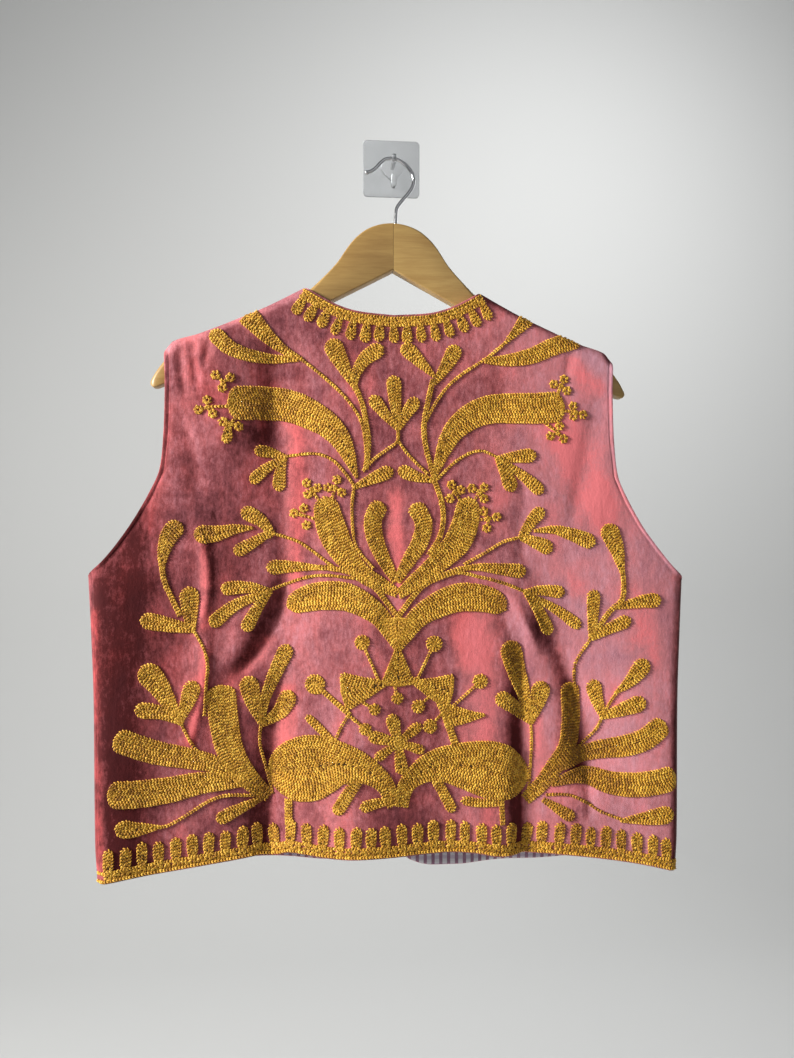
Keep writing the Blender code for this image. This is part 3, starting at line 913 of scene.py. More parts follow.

# Painted shade on the velvet, darker where these lie; a negative strength paints light.
SHADE_PATCHES = (
    SoftBand((-256, -370), (-258, -640), 36.0, 0.34), SoftBand((-117, -185), (-116, -262), 8.0, 0.10),
    SoftBand((-160, -330), (-150, -400), 26.0, 0.10), SoftBand((-112, -560), (-118, -650), 14.0, 0.20),
    SoftBand((-177, -198), (-173, -232), 12.0, 0.20), SoftBand((112, -470), (120, -640), 11.0, 0.26),
    SoftBand((-20, -185), (-40, -270), 34.0, 0.06), SoftBand((100, -205), (108, -240), 20.0, 0.14),
    SoftBand((138, -440), (168, -495), 12.0, 0.30), SoftBand((170, -500), (173, -570), 10.0, 0.28),
    SoftBand((-150, -440), (-165, -475), 18.0, -0.10), SoftBand((-210, -400), (-206, -440), 12.0, 0.12),
    SoftBand((-222, -500), (-212, -560), 16.0, -0.14), SoftBand((277, -350), (275, -660), 8.0, -0.45),
    SoftBand((-88, -205), (-86, -390), 8.0, 0.14), SoftBand((-234, -340), (-234, -400), 14.0, 0.16),
    SoftBand((-268, -400), (-268, -650), 6.0, 0.20), SoftBand((-136, -172), (-136, -215), 9.0, -0.14),
    SoftBand((74, -440), (80, -550), 13.0, -0.22), SoftBand((-22, -430), (-22, -560), 15.0, -0.12),
    SoftBand((-88, -500), (-88, -640), 12.0, 0.12), SoftBand((162, -555), (162, -645), 28.0, 0.26),
    SoftBand((-190, -600), (-190, -645), 34.0, -0.10), SoftBand((-122, -375), (-124, -430), 13.0, -0.12),
    SoftBand((-206, -450), (-210, -480), 12.0, 0.10),
)

# Painted shade on the yarn: stitches in these bands are darker.
YARN_SHADE_PATCHES = (
    SoftBand((-124, -222), (-120, -262), 15.0, 0.60), SoftBand((166, -490), (168, -590), 16.0, 0.60),
    SoftBand((196, -560), (205, -640), 22.0, 0.40), SoftBand((-186, -350), (-176, -372), 24.0, 0.45),
    SoftBand((-116, -580), (-124, -620), 14.0, 0.45), SoftBand((100, -395), (112, -470), 15.0, 0.45),
    SoftBand((150, -585), (168, -630), 24.0, 0.50), SoftBand((-230, -560), (-240, -590), 18.0, 0.20),
)


@dataclass(frozen=True)
class HungForm:
    """The shape that the waistcoat takes on its hanger: edges, depth and folds."""

    hang_y: float = -20.0
    wall: float = 2.0
    seam_gap: float = 0.3
    lip: float = 0.85
    corner_ease: float = 0.6
    shoulder_roll: float = 9.0
    side_roll: float = 14.0
    back_swell: float = 13.0
    front_swell: float = 4.5
    swell_top: float = -150.0
    swell_low: float = -470.0
    side_flatten: float = 0.28
    underarm_z: float = -396.0
    tip: Place = (211.0, -186.5)
    neck: Place = (84.0, -125.0)
    lean: float = 0.010
    hem_x: float = 272.0
    neckline: tuple[Place, ...] = ((0, -150), (34, -147), (53, -141.5), (69, -133.5), (84, -125))
    shoulder: tuple[Place, ...] = ((84, -125), (117, -142.5), (143, -154.5), (181, -170.5),
                                   (204, -178.2), (211, -186.5))
    armhole: tuple[Place, ...] = ((-396, 280.5), (-384, 267), (-367, 253), (-345, 238),
                                  (-321, 224.5), (-298, 214.5), (-262, 210.8), (-215, 210),
                                  (-200, 210.5), (-186.5, 211))
    side_seam: tuple[Place, ...] = ((-672, 272), (-640, 274), (-508, 275.5), (-445, 278),
                                    (-396, 280.5))
    back_hem: tuple[Place, ...] = ((-272, -672), (-240, -667), (-200, -662), (-158, -656),
                                   (-125, -651.5), (-111, -652), (-96, -648), (-55, -652.5),
                                   (0, -652), (51, -649.5), (77, -651), (97, -654.5), (120, -654),
                                   (160, -654.5), (205, -659), (238, -664), (272, -672))
    front_hem: tuple[Place, ...] = ((4, -655), (8, -662), (16, -668), (30, -672.5), (50, -674),
                                    (80, -672), (120, -669), (200, -668), (272, -672))
    front_edge: tuple[Place, ...] = ((-655, 4), (-560, 4), (-420, 4), (-325, 4), (-300, 8),
                                     (-280, 20), (-250, 38), (-215, 56), (-180, 70),
                                     (-150, 79.5), (-125, 84))
    left_front_lift: float = 8.0
    puff: float = 0.35
    puff_in: float = 1.3
    puff_reach: float = 1.6
    groove: float = 0.55
    groove_in: float = 3.6
    groove_reach: float = 0.75
    relief_reach: float = 9.0
    side_zone: float = 250.0
    armhole_zone: float = 190.0
    side_stitch: float = 0.7
    side_stitch_in: float = 6.6
    side_stitch_reach: float = 0.9

    def top_z(self, x: float) -> float:
        """Height of the back's upper edge: the neckline, then the shoulder seam."""
        return along(self.neckline if abs(x) < self.neck[0] else self.shoulder, abs(x))

    def side_x(self, z: float, shift: float = 0.0) -> float:
        """Half width of a panel at a height: the side seam, then the armhole's edge.

        Args:
            z: The height.
            shift: How far the armhole's edge lies outside the back's.

        Returns:
            The half width.
        """
        if z <= self.underarm_z:
            return along(self.side_seam, z)
        t = (z - self.underarm_z) / (self.tip[1] - self.underarm_z)
        return along(self.armhole, z) + shift * (1.0 - (2.0 * t - 1.0) ** 4)

    def seam_distance(self, x: float, z: float) -> float:
        """Distance to the shoulder seam, or a long way where it is far off.

        Args:
            x: Distance from the middle, in millimetres.
            z: Height, in millimetres.

        Returns:
            The distance, in millimetres.
        """
        if z < self.top_z(x) - 3.0 * self.shoulder_roll:
            return FAR
        return distance_to_line(seam_line(), abs(x), z)

    def side_distance(self, x: float, z: float) -> float:
        """Distance inside the side seam, or a long way where it is far off.

        Args:
            x: Distance from the middle, in millimetres.
            z: Height, in millimetres.

        Returns:
            The distance, in millimetres.
        """
        if abs(x) < self.side_zone:
            return FAR
        away = max(self.side_x(min(z, self.underarm_z)) - abs(x), 0.0)
        return math.hypot(away, max(z - self.underarm_z, 0.0))

    def edge_relief(self, inside: float) -> float:
        """How far the cloth stands proud at a distance inside a turned and stitched edge.

        Args:
            inside: The distance inside the edge.

        Returns:
            The height, in millimetres.
        """
        if inside > self.relief_reach:
            return 0.0
        inside = max(inside, 0.0)
        rim = self.puff * math.exp(-((inside - self.puff_in) / self.puff_reach) ** 2)
        return rim - self.groove * math.exp(
            -((inside - self.groove_in) / self.groove_reach) ** 2)

    def open_edge_distance(self, x: float, z: float, shift: float = 0.0) -> float:
        """Rough distance inside the nearest of the neckline and the armhole.

        Args:
            x: Distance from the middle, in millimetres.
            z: Height, in millimetres.
            shift: What is added to the armhole's width.

        Returns:
            The distance, in millimetres.
        """
        inside = FAR
        if abs(x) < self.neck[0] + 2.0:
            inside = min(inside, (along(self.neckline, abs(x)) - z) * 0.93)
        if z > self.underarm_z - 4.0 and abs(x) > self.armhole_zone:
            table = [(width + shift, height) for height, width in self.armhole]
            inside = min(inside, distance_to_line(table, abs(x), z))
        return inside

    def depth(self, x: float, z: float, swell: float, folds: Sequence[Fold]) -> float:
        """Distance from the hanging plane to a panel's outer face at a place.

        Args:
            x: Place across.
            z: Place in height.
            swell: How far the panel swells towards its hem.
            folds: Its folds and creases.

        Returns:
            The distance, in millimetres.
        """
        half = self.side_x(max(z, self.side_seam[0][0]))
        low = smooth((self.swell_top - z) / (self.swell_top - self.swell_low))
        flatten = 1.0 - self.side_flatten * low * min(abs(x) / half, 1.0) ** 4
        depth = (self.shoulder_roll + swell * low) * flatten
        depth -= sum(fold.depth(x, z) for fold in folds)
        turn = arch(self.seam_distance(x, z) / self.shoulder_roll)
        turn *= arch(self.side_distance(x, z) / self.side_roll)
        return self.lip + (depth - self.lip) * turn

    def hung(self, x: float, y: float, z: float) -> Vector:
        """A point in metres, with the lean that the waistcoat hangs with."""
        return Vector((x * MM, y * MM, (z - self.lean * x) * MM))


FORM = HungForm()


@lru_cache(maxsize=None)
def seam_line() -> tuple[Place, ...]:
    """Closely spaced places along the shoulder seam.

    Returns:
        The places.
    """
    first, last = FORM.neck[0], FORM.tip[0]
    places = [lerp(first, last, k / 50) for k in range(51)]
    return tuple((x, along(FORM.shoulder, x)) for x in places)


@lru_cache(maxsize=None)
def back_depth(x: float, z: float) -> float:
    """Depth of the back's outer face at a place, creases and edges with it.

    Args:
        x: Distance from the middle, in millimetres.
        z: Height, in millimetres.

    Returns:
        The depth, in millimetres.
    """
    depth = FORM.depth(x, z, FORM.back_swell, BACK_FOLDS + BACK_CREASES)
    inside = min(FORM.open_edge_distance(x, z), z - along(FORM.back_hem, x))
    seam = 0.0
    if x < -FORM.side_zone:
        away = (FORM.side_distance(x, z) - FORM.side_stitch_in) / FORM.side_stitch_reach
        seam = math.exp(-away ** 2)
    return depth + FORM.edge_relief(inside) - FORM.side_stitch * seam


@lru_cache(maxsize=None)
def front_depth(x: float, z: float) -> float:
    """Depth of a front's outer face at a place, x counted from the middle outwards.

    Args:
        x: Distance from the middle, in millimetres.
        z: Height, in millimetres.

    Returns:
        The depth, in millimetres.
    """
    depth = FORM.depth(x, z, FORM.front_swell, FRONT_FOLDS + FRONT_CREASES)
    edge = min(FORM.open_edge_distance(x, z, -3.0), z - along(FORM.front_hem, x))
    if z < FORM.neck[1]:
        edge = min(edge, (x - along(FORM.front_edge, z)) * 0.9)
    return depth + FORM.edge_relief(edge)


class Face(Enum):
    """A side of the waistcoat that stitches lie on: sign of x, and of the way out along y."""

    BACK = (1, -1)
    FRONT_LEFT = (-1, 1)
    FRONT_RIGHT = (1, 1)

    def surface(self, x: float, z: float) -> float:
        """Depth of the face at a place on its own drawing."""
        return back_depth(x, z) if self is Face.BACK else front_depth(x, z)

    def holds(self, x: float, z: float) -> bool:
        """Whether a stitch may lie here: clear of the seams and the edges."""
        return z < FORM.top_z(x) - 1.8 and abs(x) < FORM.side_x(z, self.value[0] - 4.0) - 1.5

    def point(self, x: float, z: float, lift: float) -> tuple[Vector, Vector]:
        """A point on the face and its normal.

        Args:
            x: Place across; on a front it is counted from the middle outwards.
            z: Place in height.
            lift: Distance above the cloth, in millimetres.

        Returns:
            The point in metres, and the unit normal out of the cloth.
        """
        mirror, out = self.value
        h = 0.7
        slope_x = (self.surface(x + h, z) - self.surface(x - h, z)) / (2 * h)
        slope_z = (self.surface(x, z + h) - self.surface(x, z - h)) / (2 * h)
        slope_x = min(max(slope_x, -3.0), 3.0)
        slope_z = min(max(slope_z, -3.0), 3.0)
        normal = Vector((-slope_x * mirror, out, -slope_z)).normalized()
        y = FORM.hang_y + out * self.surface(x, z)
        return FORM.hung(x * mirror, y, z) + normal * (lift * MM), normal


# ---- cloth shells

@dataclass
class ClothShell:
    """A closed thin shell over a grid of points on a panel's outer face."""

    name: str
    rows: list[list[Vector]]
    facing: int
    wall: float
    rim: Callable[[int, int], float]
    outside: Finish = VELVET
    inside: Finish = LINING
    rim_angles: tuple[float, ...] = (45.0, 90.0, 135.0)
    # Coral tint on the rims, which carries the same partly painted light.
    rim_coral_and_light: float = 0.3
    normals: list[list[Vector]] = field(default_factory=list)

    def work_out_normals(self) -> None:
        """Find each grid point's normal from the faces round it."""
        wide = len(self.rows[0])
        sums = [[Vector((0.0, 0.0, 0.0)) for _ in range(wide)] for _ in self.rows]
        for i in range(len(self.rows) - 1):
            for k in range(wide - 1):
                a, b = self.rows[i][k], self.rows[i][k + 1]
                c, d = self.rows[i + 1][k + 1], self.rows[i + 1][k]
                cross = (c - a).cross(d - b) * -self.facing
                for row, column in ((i, k), (i, k + 1), (i + 1, k + 1), (i + 1, k)):
                    sums[row][column] += cross
        self.normals = [[value.normalized() for value in row] for row in sums]

    def outwards(self, i: int, k: int) -> Vector:
        """Unit direction off the sheet at a border point, by its row and column.

        Args:
            i: The point's row.
            k: The point's place in that row.

        Returns:
            The direction.
        """
        high, wide = len(self.rows) - 1, len(self.rows[0]) - 1
        here = self.rows[i][k]
        way = Vector((0.0, 0.0, 0.0))
        if i in (0, high):
            way += (here - self.rows[1 if i == 0 else high - 1][k]).normalized()
        if k in (0, wide):
            way += (here - self.rows[i][1 if k == 0 else wide - 1]).normalized()
        return way.normalized()

    def build(self, coral_and_light_at: Callable[[int, int], float],
              painted_shading_at: Callable[[int, int], float] = lambda i, k: 0.5) -> Mesh:
        """Close the shell.

        Args:
            coral_and_light_at: Gives the coral tint at a grid point, by row and column, partly painted
                light.
            painted_shading_at: Gives the painted shading there: 0 in shade, away from the light, 1 lit,
                towards it.

        Returns:
            The closed mesh, the finish outside on its first slot and the one inside on its second.
        """
        self.work_out_normals()
        high, wide = len(self.rows), len(self.rows[0])
        points = [point for row in self.rows for point in row]
        points += [point - normal * (self.wall * MM)
                   for row, out in zip(self.rows, self.normals)
                   for point, normal in zip(row, out)]
        shift = high * wide
        coral_and_light = [coral_and_light_at(i, k) for i in range(high) for k in range(wide)] + [0.0] * shift
        painted_shading = [painted_shading_at(i, k) for i in range(high) for k in range(wide)] + [0.5] * shift
        faces = grid_faces(high, wide, 0, self.facing > 0)
        slots = [0, 1] * (len(faces) // 2)
        border = grid_border(high, wide)
        rings = [[i * wide + k for i, k in border]]
        for angle in self.rim_angles:
            turn = math.radians(angle)
            rings.append(list(range(len(points), len(points) + len(border))))
            for i, k in border:
                down = self.wall * MM / 2 * (1.0 - math.cos(turn))
                away = self.wall * MM / 2 * math.sin(turn) * self.rim(i, k)
                points.append(self.rows[i][k] - self.normals[i][k] * down
                              + self.outwards(i, k) * away)
                coral_and_light.append(self.rim_coral_and_light)
                painted_shading.append(painted_shading_at(i, k))
        rings.append([i * wide + k + shift for i, k in border])
        for near, far in zip(rings, rings[1:]):
            for a in range(len(border)):
                b = (a + 1) % len(border)
                ring = (near[b], near[a], far[a], far[b])
                faces.append(ring if self.facing < 0 else ring[::-1])
                slots.append(0)
        mesh = mesh_from(self.name, points, faces, (self.outside, self.inside), slots)
        # The velvet's attributes: the coral tint, partly painted light, and the painted shading.
        for label, values in (("coral_and_light", coral_and_light), ("painted_shading", painted_shading)):
            layer = mesh.attributes.new(label, "FLOAT", "POINT")
            layer.data.foreach_set("value", values)
        return mesh


def coons(low: Callable[[float], Place], top: Callable[[float], Place],
          left: Callable[[float], Place], right: Callable[[float], Place]
          ) -> Callable[[float, float], Place]:
    """The patch that four edges bound.

    Args:
        low: The lower edge, by share across.
        top: The upper edge, by share across.
        left: The left edge, by share up.
        right: The right edge, by share up.

    Returns:
        A function of (share across, share up) that gives a place.
    """
    corners = (low(0.0), low(1.0), top(0.0), top(1.0))

    def place(s: float, v: float) -> Place:
        """The place at two shares.

        Args:
            s: The share across.
            v: The share up.

        Returns:
            The place.
        """
        point = []
        foot, head, near, far = low(s), top(s), left(v), right(v)
        for axis in range(2):
            plain = lerp(lerp(corners[0][axis], corners[1][axis], s),
                         lerp(corners[2][axis], corners[3][axis], s), v)
            point.append(lerp(foot[axis], head[axis], v) + lerp(near[axis], far[axis], s) - plain)
        return point[0], point[1]
    return place


def stepped(first: float, last: float, step: float) -> list[float]:
    """Even steps from first up to just below last."""
    count = max(round((last - first) / step), 1)
    return [lerp(first, last, k / count) for k in range(count)]


def turned(radius: float, steps: int) -> list[float]:
    """Distances from an edge that follow a quarter round evenly, from the far end in."""
    return [radius * (1.0 - math.cos(math.radians(90.0 * k / steps))) for k in range(steps, 0, -1)]


@dataclass
class Panel:
    """Grid lines that the back and the fronts share."""

    step: float = 3.1
    rim_lines: tuple[float, ...] = (0.0, 0.55, 1.3, 2.1, 2.9, 3.6, 4.3, 5.2, 6.8, 9.0)
    seam_lines: tuple[float, ...] = (7.9, 7.2, 6.6, 6.0, 5.3)
    roll_steps: int = 8
    shell_wall: float = 1.9
    edge_round: float = 0.9

    def heights(self, length: float, underarm: float) -> list[float]:
        """Shares of the way up, 0 at the hem and 1 at the shoulder, with one at the underarm.

        Args:
            length: The panel's length at its side.
            underarm: The underarm's share.

        Returns:
            The shares, in rising order.
        """
        seam = [length - line for line in turned(FORM.shoulder_roll, self.roll_steps)]
        middle = stepped(self.rim_lines[-1], underarm * length, self.step)
        middle += stepped(underarm * length, seam[0], self.step)
        places = list(self.rim_lines[:-1]) + middle + seam
        shares = [line / length for line in places] + [1.0]
        nearest = min(range(len(shares)), key=lambda k: abs(shares[k] - underarm))
        shares[nearest] = underarm
        return shares

    def across(self, half: float) -> list[float]:
        """Places from the middle out to the side fold.

        Args:
            half: The side fold's distance from the middle.

        Returns:
            The places.
        """
        roll = [half - line for line in turned(FORM.side_roll, self.roll_steps)]
        seam = [half - line for line in self.seam_lines]
        lines = stepped(0.0, roll[0], self.step) + sorted(set(roll + seam))
        return lines + [half - 0.12, half]


@dataclass
class BackPanel(Panel):
    """The back: one piece from side fold to side fold and from neckline to hem."""

    def places(self) -> tuple[list[list[Place3]], int]:
        """Grid of (x, z, depth), and the row of the underarm.

        Returns:
            The grid and the row.
        """
        foot_z = FORM.back_hem[0][1]
        tip_x, tip_z = FORM.tip
        half = FORM.hem_x
        patch = coons(
            lambda s: (lerp(-half, half, s), along(FORM.back_hem, lerp(-half, half, s))),
            lambda s: (lerp(-tip_x, tip_x, s), FORM.top_z(lerp(-tip_x, tip_x, s))),
            lambda v: (-FORM.side_x(lerp(foot_z, tip_z, v)), lerp(foot_z, tip_z, v)),
            lambda v: (FORM.side_x(lerp(foot_z, tip_z, v)), lerp(foot_z, tip_z, v)))
        length = tip_z - foot_z
        underarm = (FORM.underarm_z - foot_z) / length
        shares = self.heights(length, underarm)
        lines = self.across(half)
        lines = [-x for x in reversed(lines[1:])] + lines
        grid = []
        for index, v in enumerate(shares + [1.0]):
            seam_row = index == len(shares)
            row = []
            for column in range(-1, len(lines) + 1):
                beside = column in (-1, len(lines))
                place = lines[min(max(column, 0), len(lines) - 1)]
                if not beside and abs(place) == half and v > underarm:
                    place -= math.copysign(0.05, place)
                s = (place + half) / (2 * half)
                x, z = patch(s, v)
                at_neck = abs(lerp(-tip_x, tip_x, s)) < FORM.neck[0] - 0.5
                if v == 1.0 and at_neck and not seam_row:
                    z -= 0.15
                depth = back_depth(x, z)
                if (seam_row and not at_neck) or (beside and v <= underarm):
                    ends = v == underarm or (seam_row and abs(abs(x) - FORM.neck[0]) < 0.5)
                    depth = FORM.seam_gap / 2 + (FORM.corner_ease if ends else 0.0)
                row.append((x, z, depth))
            grid.append(row)
        return grid, shares.index(underarm)

    def build(self) -> Item:
        """Make the back's shell.

        Returns:
            The filed piece.
        """
        grid, underarm_row = self.places()
        rows = [[FORM.hung(x, FORM.hang_y - depth, z) for x, z, depth in row] for row in grid]
        last, wide = len(rows) - 1, len(rows[0]) - 1

        def rim(i: int, k: int) -> float:
            """How far the edge stands out there, as a share of half the wall.

            Args:
                i: The point's row.
                k: The point's place in that row.

            Returns:
                The share.
            """
            at_neck = abs(grid[i][k][0]) < FORM.neck[0] - 2.0
            free = i == 0 or (i == last and at_neck)
            free = free or (k in (0, wide) and underarm_row + 1 < i < last - 4)
            return self.edge_round if free else 0.0

        def painted_shading(i: int, k: int) -> float:
            """Painted shading of the velvet there: lighter towards the right, and on fold slopes that face
            the key light.

            Args:
                i: The point's row.
                k: The point's place in that row.

            Returns:
                The value for the finish.
            """
            x, z, _ = grid[i][k]
            # Painted shade: slopes that turn from the key light darken, and the shade patches darken more.
            slope = (back_depth(x + 3.0, z) - back_depth(x - 3.0, z)) / 6.0
            broad = sum(patch.at(x, z) for patch in SHADE_PATCHES)
            level = 0.20 + 0.49 * smooth((x - 50.0) / 130.0)
            level -= 0.07 * smooth((-98.0 - x) / 9.0) * smooth((-190.0 - z) / 80.0)
            level -= 0.13 * smooth((x - 110.0) / 50.0) * smooth((-480.0 - z) / 60.0)
            return min(max(level + min(1.1 * slope, 0.16) - broad, -0.3), 1.0)

        shell = ClothShell("back_velvet", rows, -1, self.shell_wall, rim)
        mesh = shell.build(lambda i, k: min(
            sum(band.at(grid[i][k][0], grid[i][k][1]) for band in CORAL_AND_LIGHT_BANDS), 1.0), painted_shading)
        return file_piece("back_velvet", mesh, ("back_panel",))


@dataclass
class FrontPanel(Panel):
    """One front: shoulder, neckline, straight opening edge, round corner and armhole."""

    side: str = "left"
    step: float = 4.2
    roll_steps: int = 6
    span: float = 268.0

    @property
    def shift(self) -> float:
        """How far this front's armhole edge lies outside the back's."""
        return -2.5 if self.side == "left" else -4.0

    @property
    def face(self) -> Face:
        """The face that its stitches lie on."""
        return Face.FRONT_LEFT if self.side == "left" else Face.FRONT_RIGHT

    def patch(self) -> tuple[Callable[[float, float], Place], float]:
        """Its outline as a patch, x counted from the middle, and its side's lowest height.

        Returns:
            The patch and the height.
        """
        lift = FORM.left_front_lift if self.side == "left" else 0.0
        hem = FORM.front_hem
        side_z = FORM.back_hem[0][1]
        corner_z = hem[0][1] + lift

        def low(s: float) -> Place:
            """The hem.

            Args:
                s: The share across.

            Returns:
                The place on it.
            """
            x = lerp(hem[0][0], hem[-1][0], s)
            raised = lift * (1.0 - smooth((s - 0.6) / 0.4))
            return x, along(hem, x) + raised + (side_z - hem[-1][1]) * smooth(s)

        def top(s: float) -> Place:
            """The shoulder seam."""
            x = lerp(FORM.neck[0], FORM.tip[0], s)
            return x, along(FORM.shoulder, x)

        def inner(v: float) -> Place:
            """The opening and neck edge."""
            z = lerp(corner_z, FORM.neck[1], v)
            return along(FORM.front_edge, z), z

        def outer(v: float) -> Place:
            """The side seam and the armhole."""
            z = lerp(side_z, FORM.tip[1], v)
            return FORM.side_x(z, self.shift), z

        return coons(low, top, inner, outer), side_z

    def hem_z(self, x: float) -> float:
        """Height of its hem at a place.

        Args:
            x: Distance from the middle, in millimetres.

        Returns:
            The height, in millimetres.
        """
        lift = FORM.left_front_lift if self.side == "left" else 0.0
        s = (x - FORM.front_hem[0][0]) / (FORM.front_hem[-1][0] - FORM.front_hem[0][0])
        return along(FORM.front_hem, x) + lift * (1.0 - smooth((s - 0.6) / 0.4))

    def build(self) -> Item:
        """Make the front's shell.

        Returns:
            The filed piece.
        """
        patch, side_z = self.patch()
        mirror = self.face.value[0]
        length = FORM.tip[1] - side_z
        underarm = (FORM.underarm_z - side_z) / length
        shares = self.heights(length, underarm)
        lines = list(self.rim_lines[:-1])
        lines += [line for line in self.across(self.span) if line >= self.rim_lines[-1]]
        grid = []
        for index, v in enumerate(shares + [1.0]):
            seam_row = index == len(shares)
            row = []
            for column in range(len(lines) + 1):
                beside = column == len(lines)
                place = lines[min(column, len(lines) - 1)]
                if not beside and place == self.span and v > underarm:
                    place -= 0.05
                x, z = patch(place / self.span, v)
                depth = front_depth(x, z)
                if seam_row or (beside and v <= underarm):
                    ends = v == underarm or (seam_row and column == 0)
                    depth = FORM.seam_gap / 2 + (FORM.corner_ease if ends else 0.0)
                row.append((x, z, depth))
            grid.append(row)
        rows = [[FORM.hung(x * mirror, FORM.hang_y + depth, z) for x, z, depth in row]
                for row in grid]
        last, wide, underarm_row = len(rows) - 1, len(rows[0]) - 1, shares.index(underarm)

        def rim(i: int, k: int) -> float:
            """How far the edge stands out there, as a share of half the wall."""
            free = underarm_row + 1 < i < last - 4 if k == wide else i < last - 1
            return self.edge_round if free else 0.0

        name = f"front_velvet_{self.side}"
        shell = ClothShell(name, rows, mirror, self.shell_wall, rim)
        mesh = shell.build(lambda i, k: 0.35 + 0.35 * math.sin(grid[i][k][0] / 17.0))
        return file_piece(name, mesh, (f"front_{self.side}",))

    def build_lining(self) -> Item:
        """The lining on this front's inner face, from below the chest to the hem.

        Returns:
            The filed piece.
        """
        patch, side_z = self.patch()
        top_share = (-300.0 - side_z) / (FORM.tip[1] - side_z)
        columns = [2.0] + stepped(4.0, 252.0, 4.4) + [252.0]
        count = 84
        rows = []
        for index in range(count + 1):
            v = top_share * (index / count) ** 1.15
            row = []
            for line in columns:
                x, z = patch(line / self.span, v)
                z += 0.6 * (1.0 - v / top_share)
                depth = front_depth(x, z) - FORM.wall - 0.25
                row.append(FORM.hung(x, FORM.hang_y + depth, z))
            rows.append(row)
        shell = ClothShell("lining_cotton", rows, 1, 0.9, lambda i, k: 0.5, LINING, LINING)
        mesh = shell.build(lambda i, k: 0.0)
        return file_piece("lining_cotton", mesh, ("lining_front_right",))


# ---- embroidery

class LeafShape(Enum):
    """Outline of a leaf: its end's rounding in half widths, and how slowly its sides taper."""

    CLUB = (1.0, 1.3)
    HORN = (0.62, 2.6)
    PETAL = (1.0, 4.0)
    WEDGE = (0.16, 1.0)


@dataclass
class Drawing:
    """Rows of stitches and padded shapes on one face, before they are made.

    ROW_STEP and STEM_STEP are the distances between points along a row and along a stem, in
    millimetres. STEM_PITCH is the distance between a stem's rows, as a share of the pitch.
    """

    ROW_STEP = 1.6
    STEM_STEP = 2.0
    STEM_PITCH = 0.88

    face: Face
    seed: int
    pitch: float = 2.45
    rows: list[list[Place]] = field(default_factory=list)
    pads: list[list[list[Place]]] = field(default_factory=list)

    def __post_init__(self) -> None:
        """Start the drawing's own unsteady hand."""
        self.hand = random.Random(self.seed)

    def row(self, points: Sequence[Place], smooth_it: bool = True) -> None:
        """Lay one row of chain stitch through the points.

        Args:
            points: The points.
            smooth_it: Whether a smooth curve goes through them.
        """
        line = curve_through(points, 8) if smooth_it else list(points)
        line = evenly(line, self.ROW_STEP)
        if len(line) > 1:
            self.rows.append(line)

    def stem(self, points: Sequence[Place], strands: int = 1) -> None:
        """Lay a stem of one or more rows side by side.

        Args:
            points: The line's points.
            strands: How many rows.
        """
        line = evenly(curve_through(points, 10), self.STEM_STEP)
        for strand in range(strands):
            offset = (strand - (strands - 1) / 2) * self.pitch * self.STEM_PITCH
            self.rows.append(self.beside(line, [offset] * len(line)))

    def ring(self, x: float, z: float, radius: float) -> None:
        """Lay a ring of stitches.

        Args:
            x: Its middle's x.
            z: Its middle's z.
            radius: Its radius, in millimetres.
        """
        first = self.hand.uniform(0.0, 6.28)
        count = 14
        self.rows.append([(x + radius * math.cos(first + k * math.tau / count),
                           z + radius * math.sin(first + k * math.tau / count))
                          for k in range(count + 1)])

    def loops(self, places: Sequence[Place], radius: float = 4.3) -> None:
        """Small open loops of yarn.

        Args:
            places: Their middles.
            radius: Their radius, in millimetres.
        """
        for x, z in places:
            self.ring(x, z, radius - 1.3)
            self.ring(x, z, radius - 1.75)

    def sprig(self, heart: Place, tips: Sequence[Place]) -> None:
        """Loops that hang together at one place.

        Args:
            heart: The place.
            tips: The loops' middles.
        """
        self.loops(tips)
        for tip in tips:
            self.stem((lerp_place(heart, tip, -0.12), lerp_place(heart, tip, 0.62)))

    def disc(self, x: float, z: float, radius: float) -> None:
        """A round spot, filled ring by ring.

        Args:
            x: Its middle's x.
            z: Its middle's z.
            radius: Its radius, in millimetres.
        """
        inner = radius - self.pitch * 0.5
        while inner > 0.9:
            self.ring(x, z, inner)
            inner -= self.pitch * 0.9
        self.rows.append([(x - 1.0, z), (x + 1.0, z + 0.4)])
        self.pad([(x - radius, z), (x, z), (x + radius, z)], LeafShape.PETAL, radius - 0.4, 0.2)

    @staticmethod
    def beside(line: Sequence[Place], offsets: Sequence[float], first: int = 0) -> list[Place]:
        """A line at an offset to the left of another, from one of its points on.

        Args:
            line: The other line.
            offsets: The offset at each point.
            first: The index of the first point.

        Returns:
            The line.
        """
        out = []
        last = len(line) - 1
        for k, offset in enumerate(offsets, first):
            (x, z), (x0, z0), (x1, z1) = line[k], line[max(k - 1, 0)], line[min(k + 1, last)]
            length = math.hypot(x1 - x0, z1 - z0) or 1.0
            out.append((x - (z1 - z0) / length * offset, z + (x1 - x0) / length * offset))
        return out

    @staticmethod
    def below(line: Sequence[Place], index: int, distance: float) -> Place:
        """The place at a distance to the right of a line, at one of its points.

        Args:
            line: The line.
            index: The point's index.
            distance: The distance.

        Returns:
            The place.
        """
        (x0, z0), (x1, z1) = line[index - 2], line[index + 2]
        length = math.hypot(x1 - x0, z1 - z0)
        x, z = line[index]
        return x + (z1 - z0) / length * distance, z - (x1 - x0) / length * distance

    @staticmethod
    def widths(shape: LeafShape, half: float, root: float, lengths: Sequence[float]) -> list[float]:
        """Half width of a leaf at each of some distances from its end.

        Args:
            shape: The leaf's shape.
            half: Its greatest half width.
            root: The half width at which it ends.
            lengths: The distances, the last of them its length.

        Returns:
            The half widths.
        """
        cap_share, taper = shape.value
        total = lengths[-1]
        cap = min(cap_share * half, total * 0.45)
        out = []
        for d in lengths:
            u = max(d - cap, 0.0) / (total - cap)
            width = lerp(half, root, u**taper)
            if d < cap:
                width *= (1.0 - (1.0 - d / cap) ** 2.3) ** 0.5
            if shape is LeafShape.PETAL and total - d < cap:
                width = min(width, half * (1.0 - (1.0 - (total - d) / cap) ** 2.3) ** 0.5)
            out.append(width)
        return out

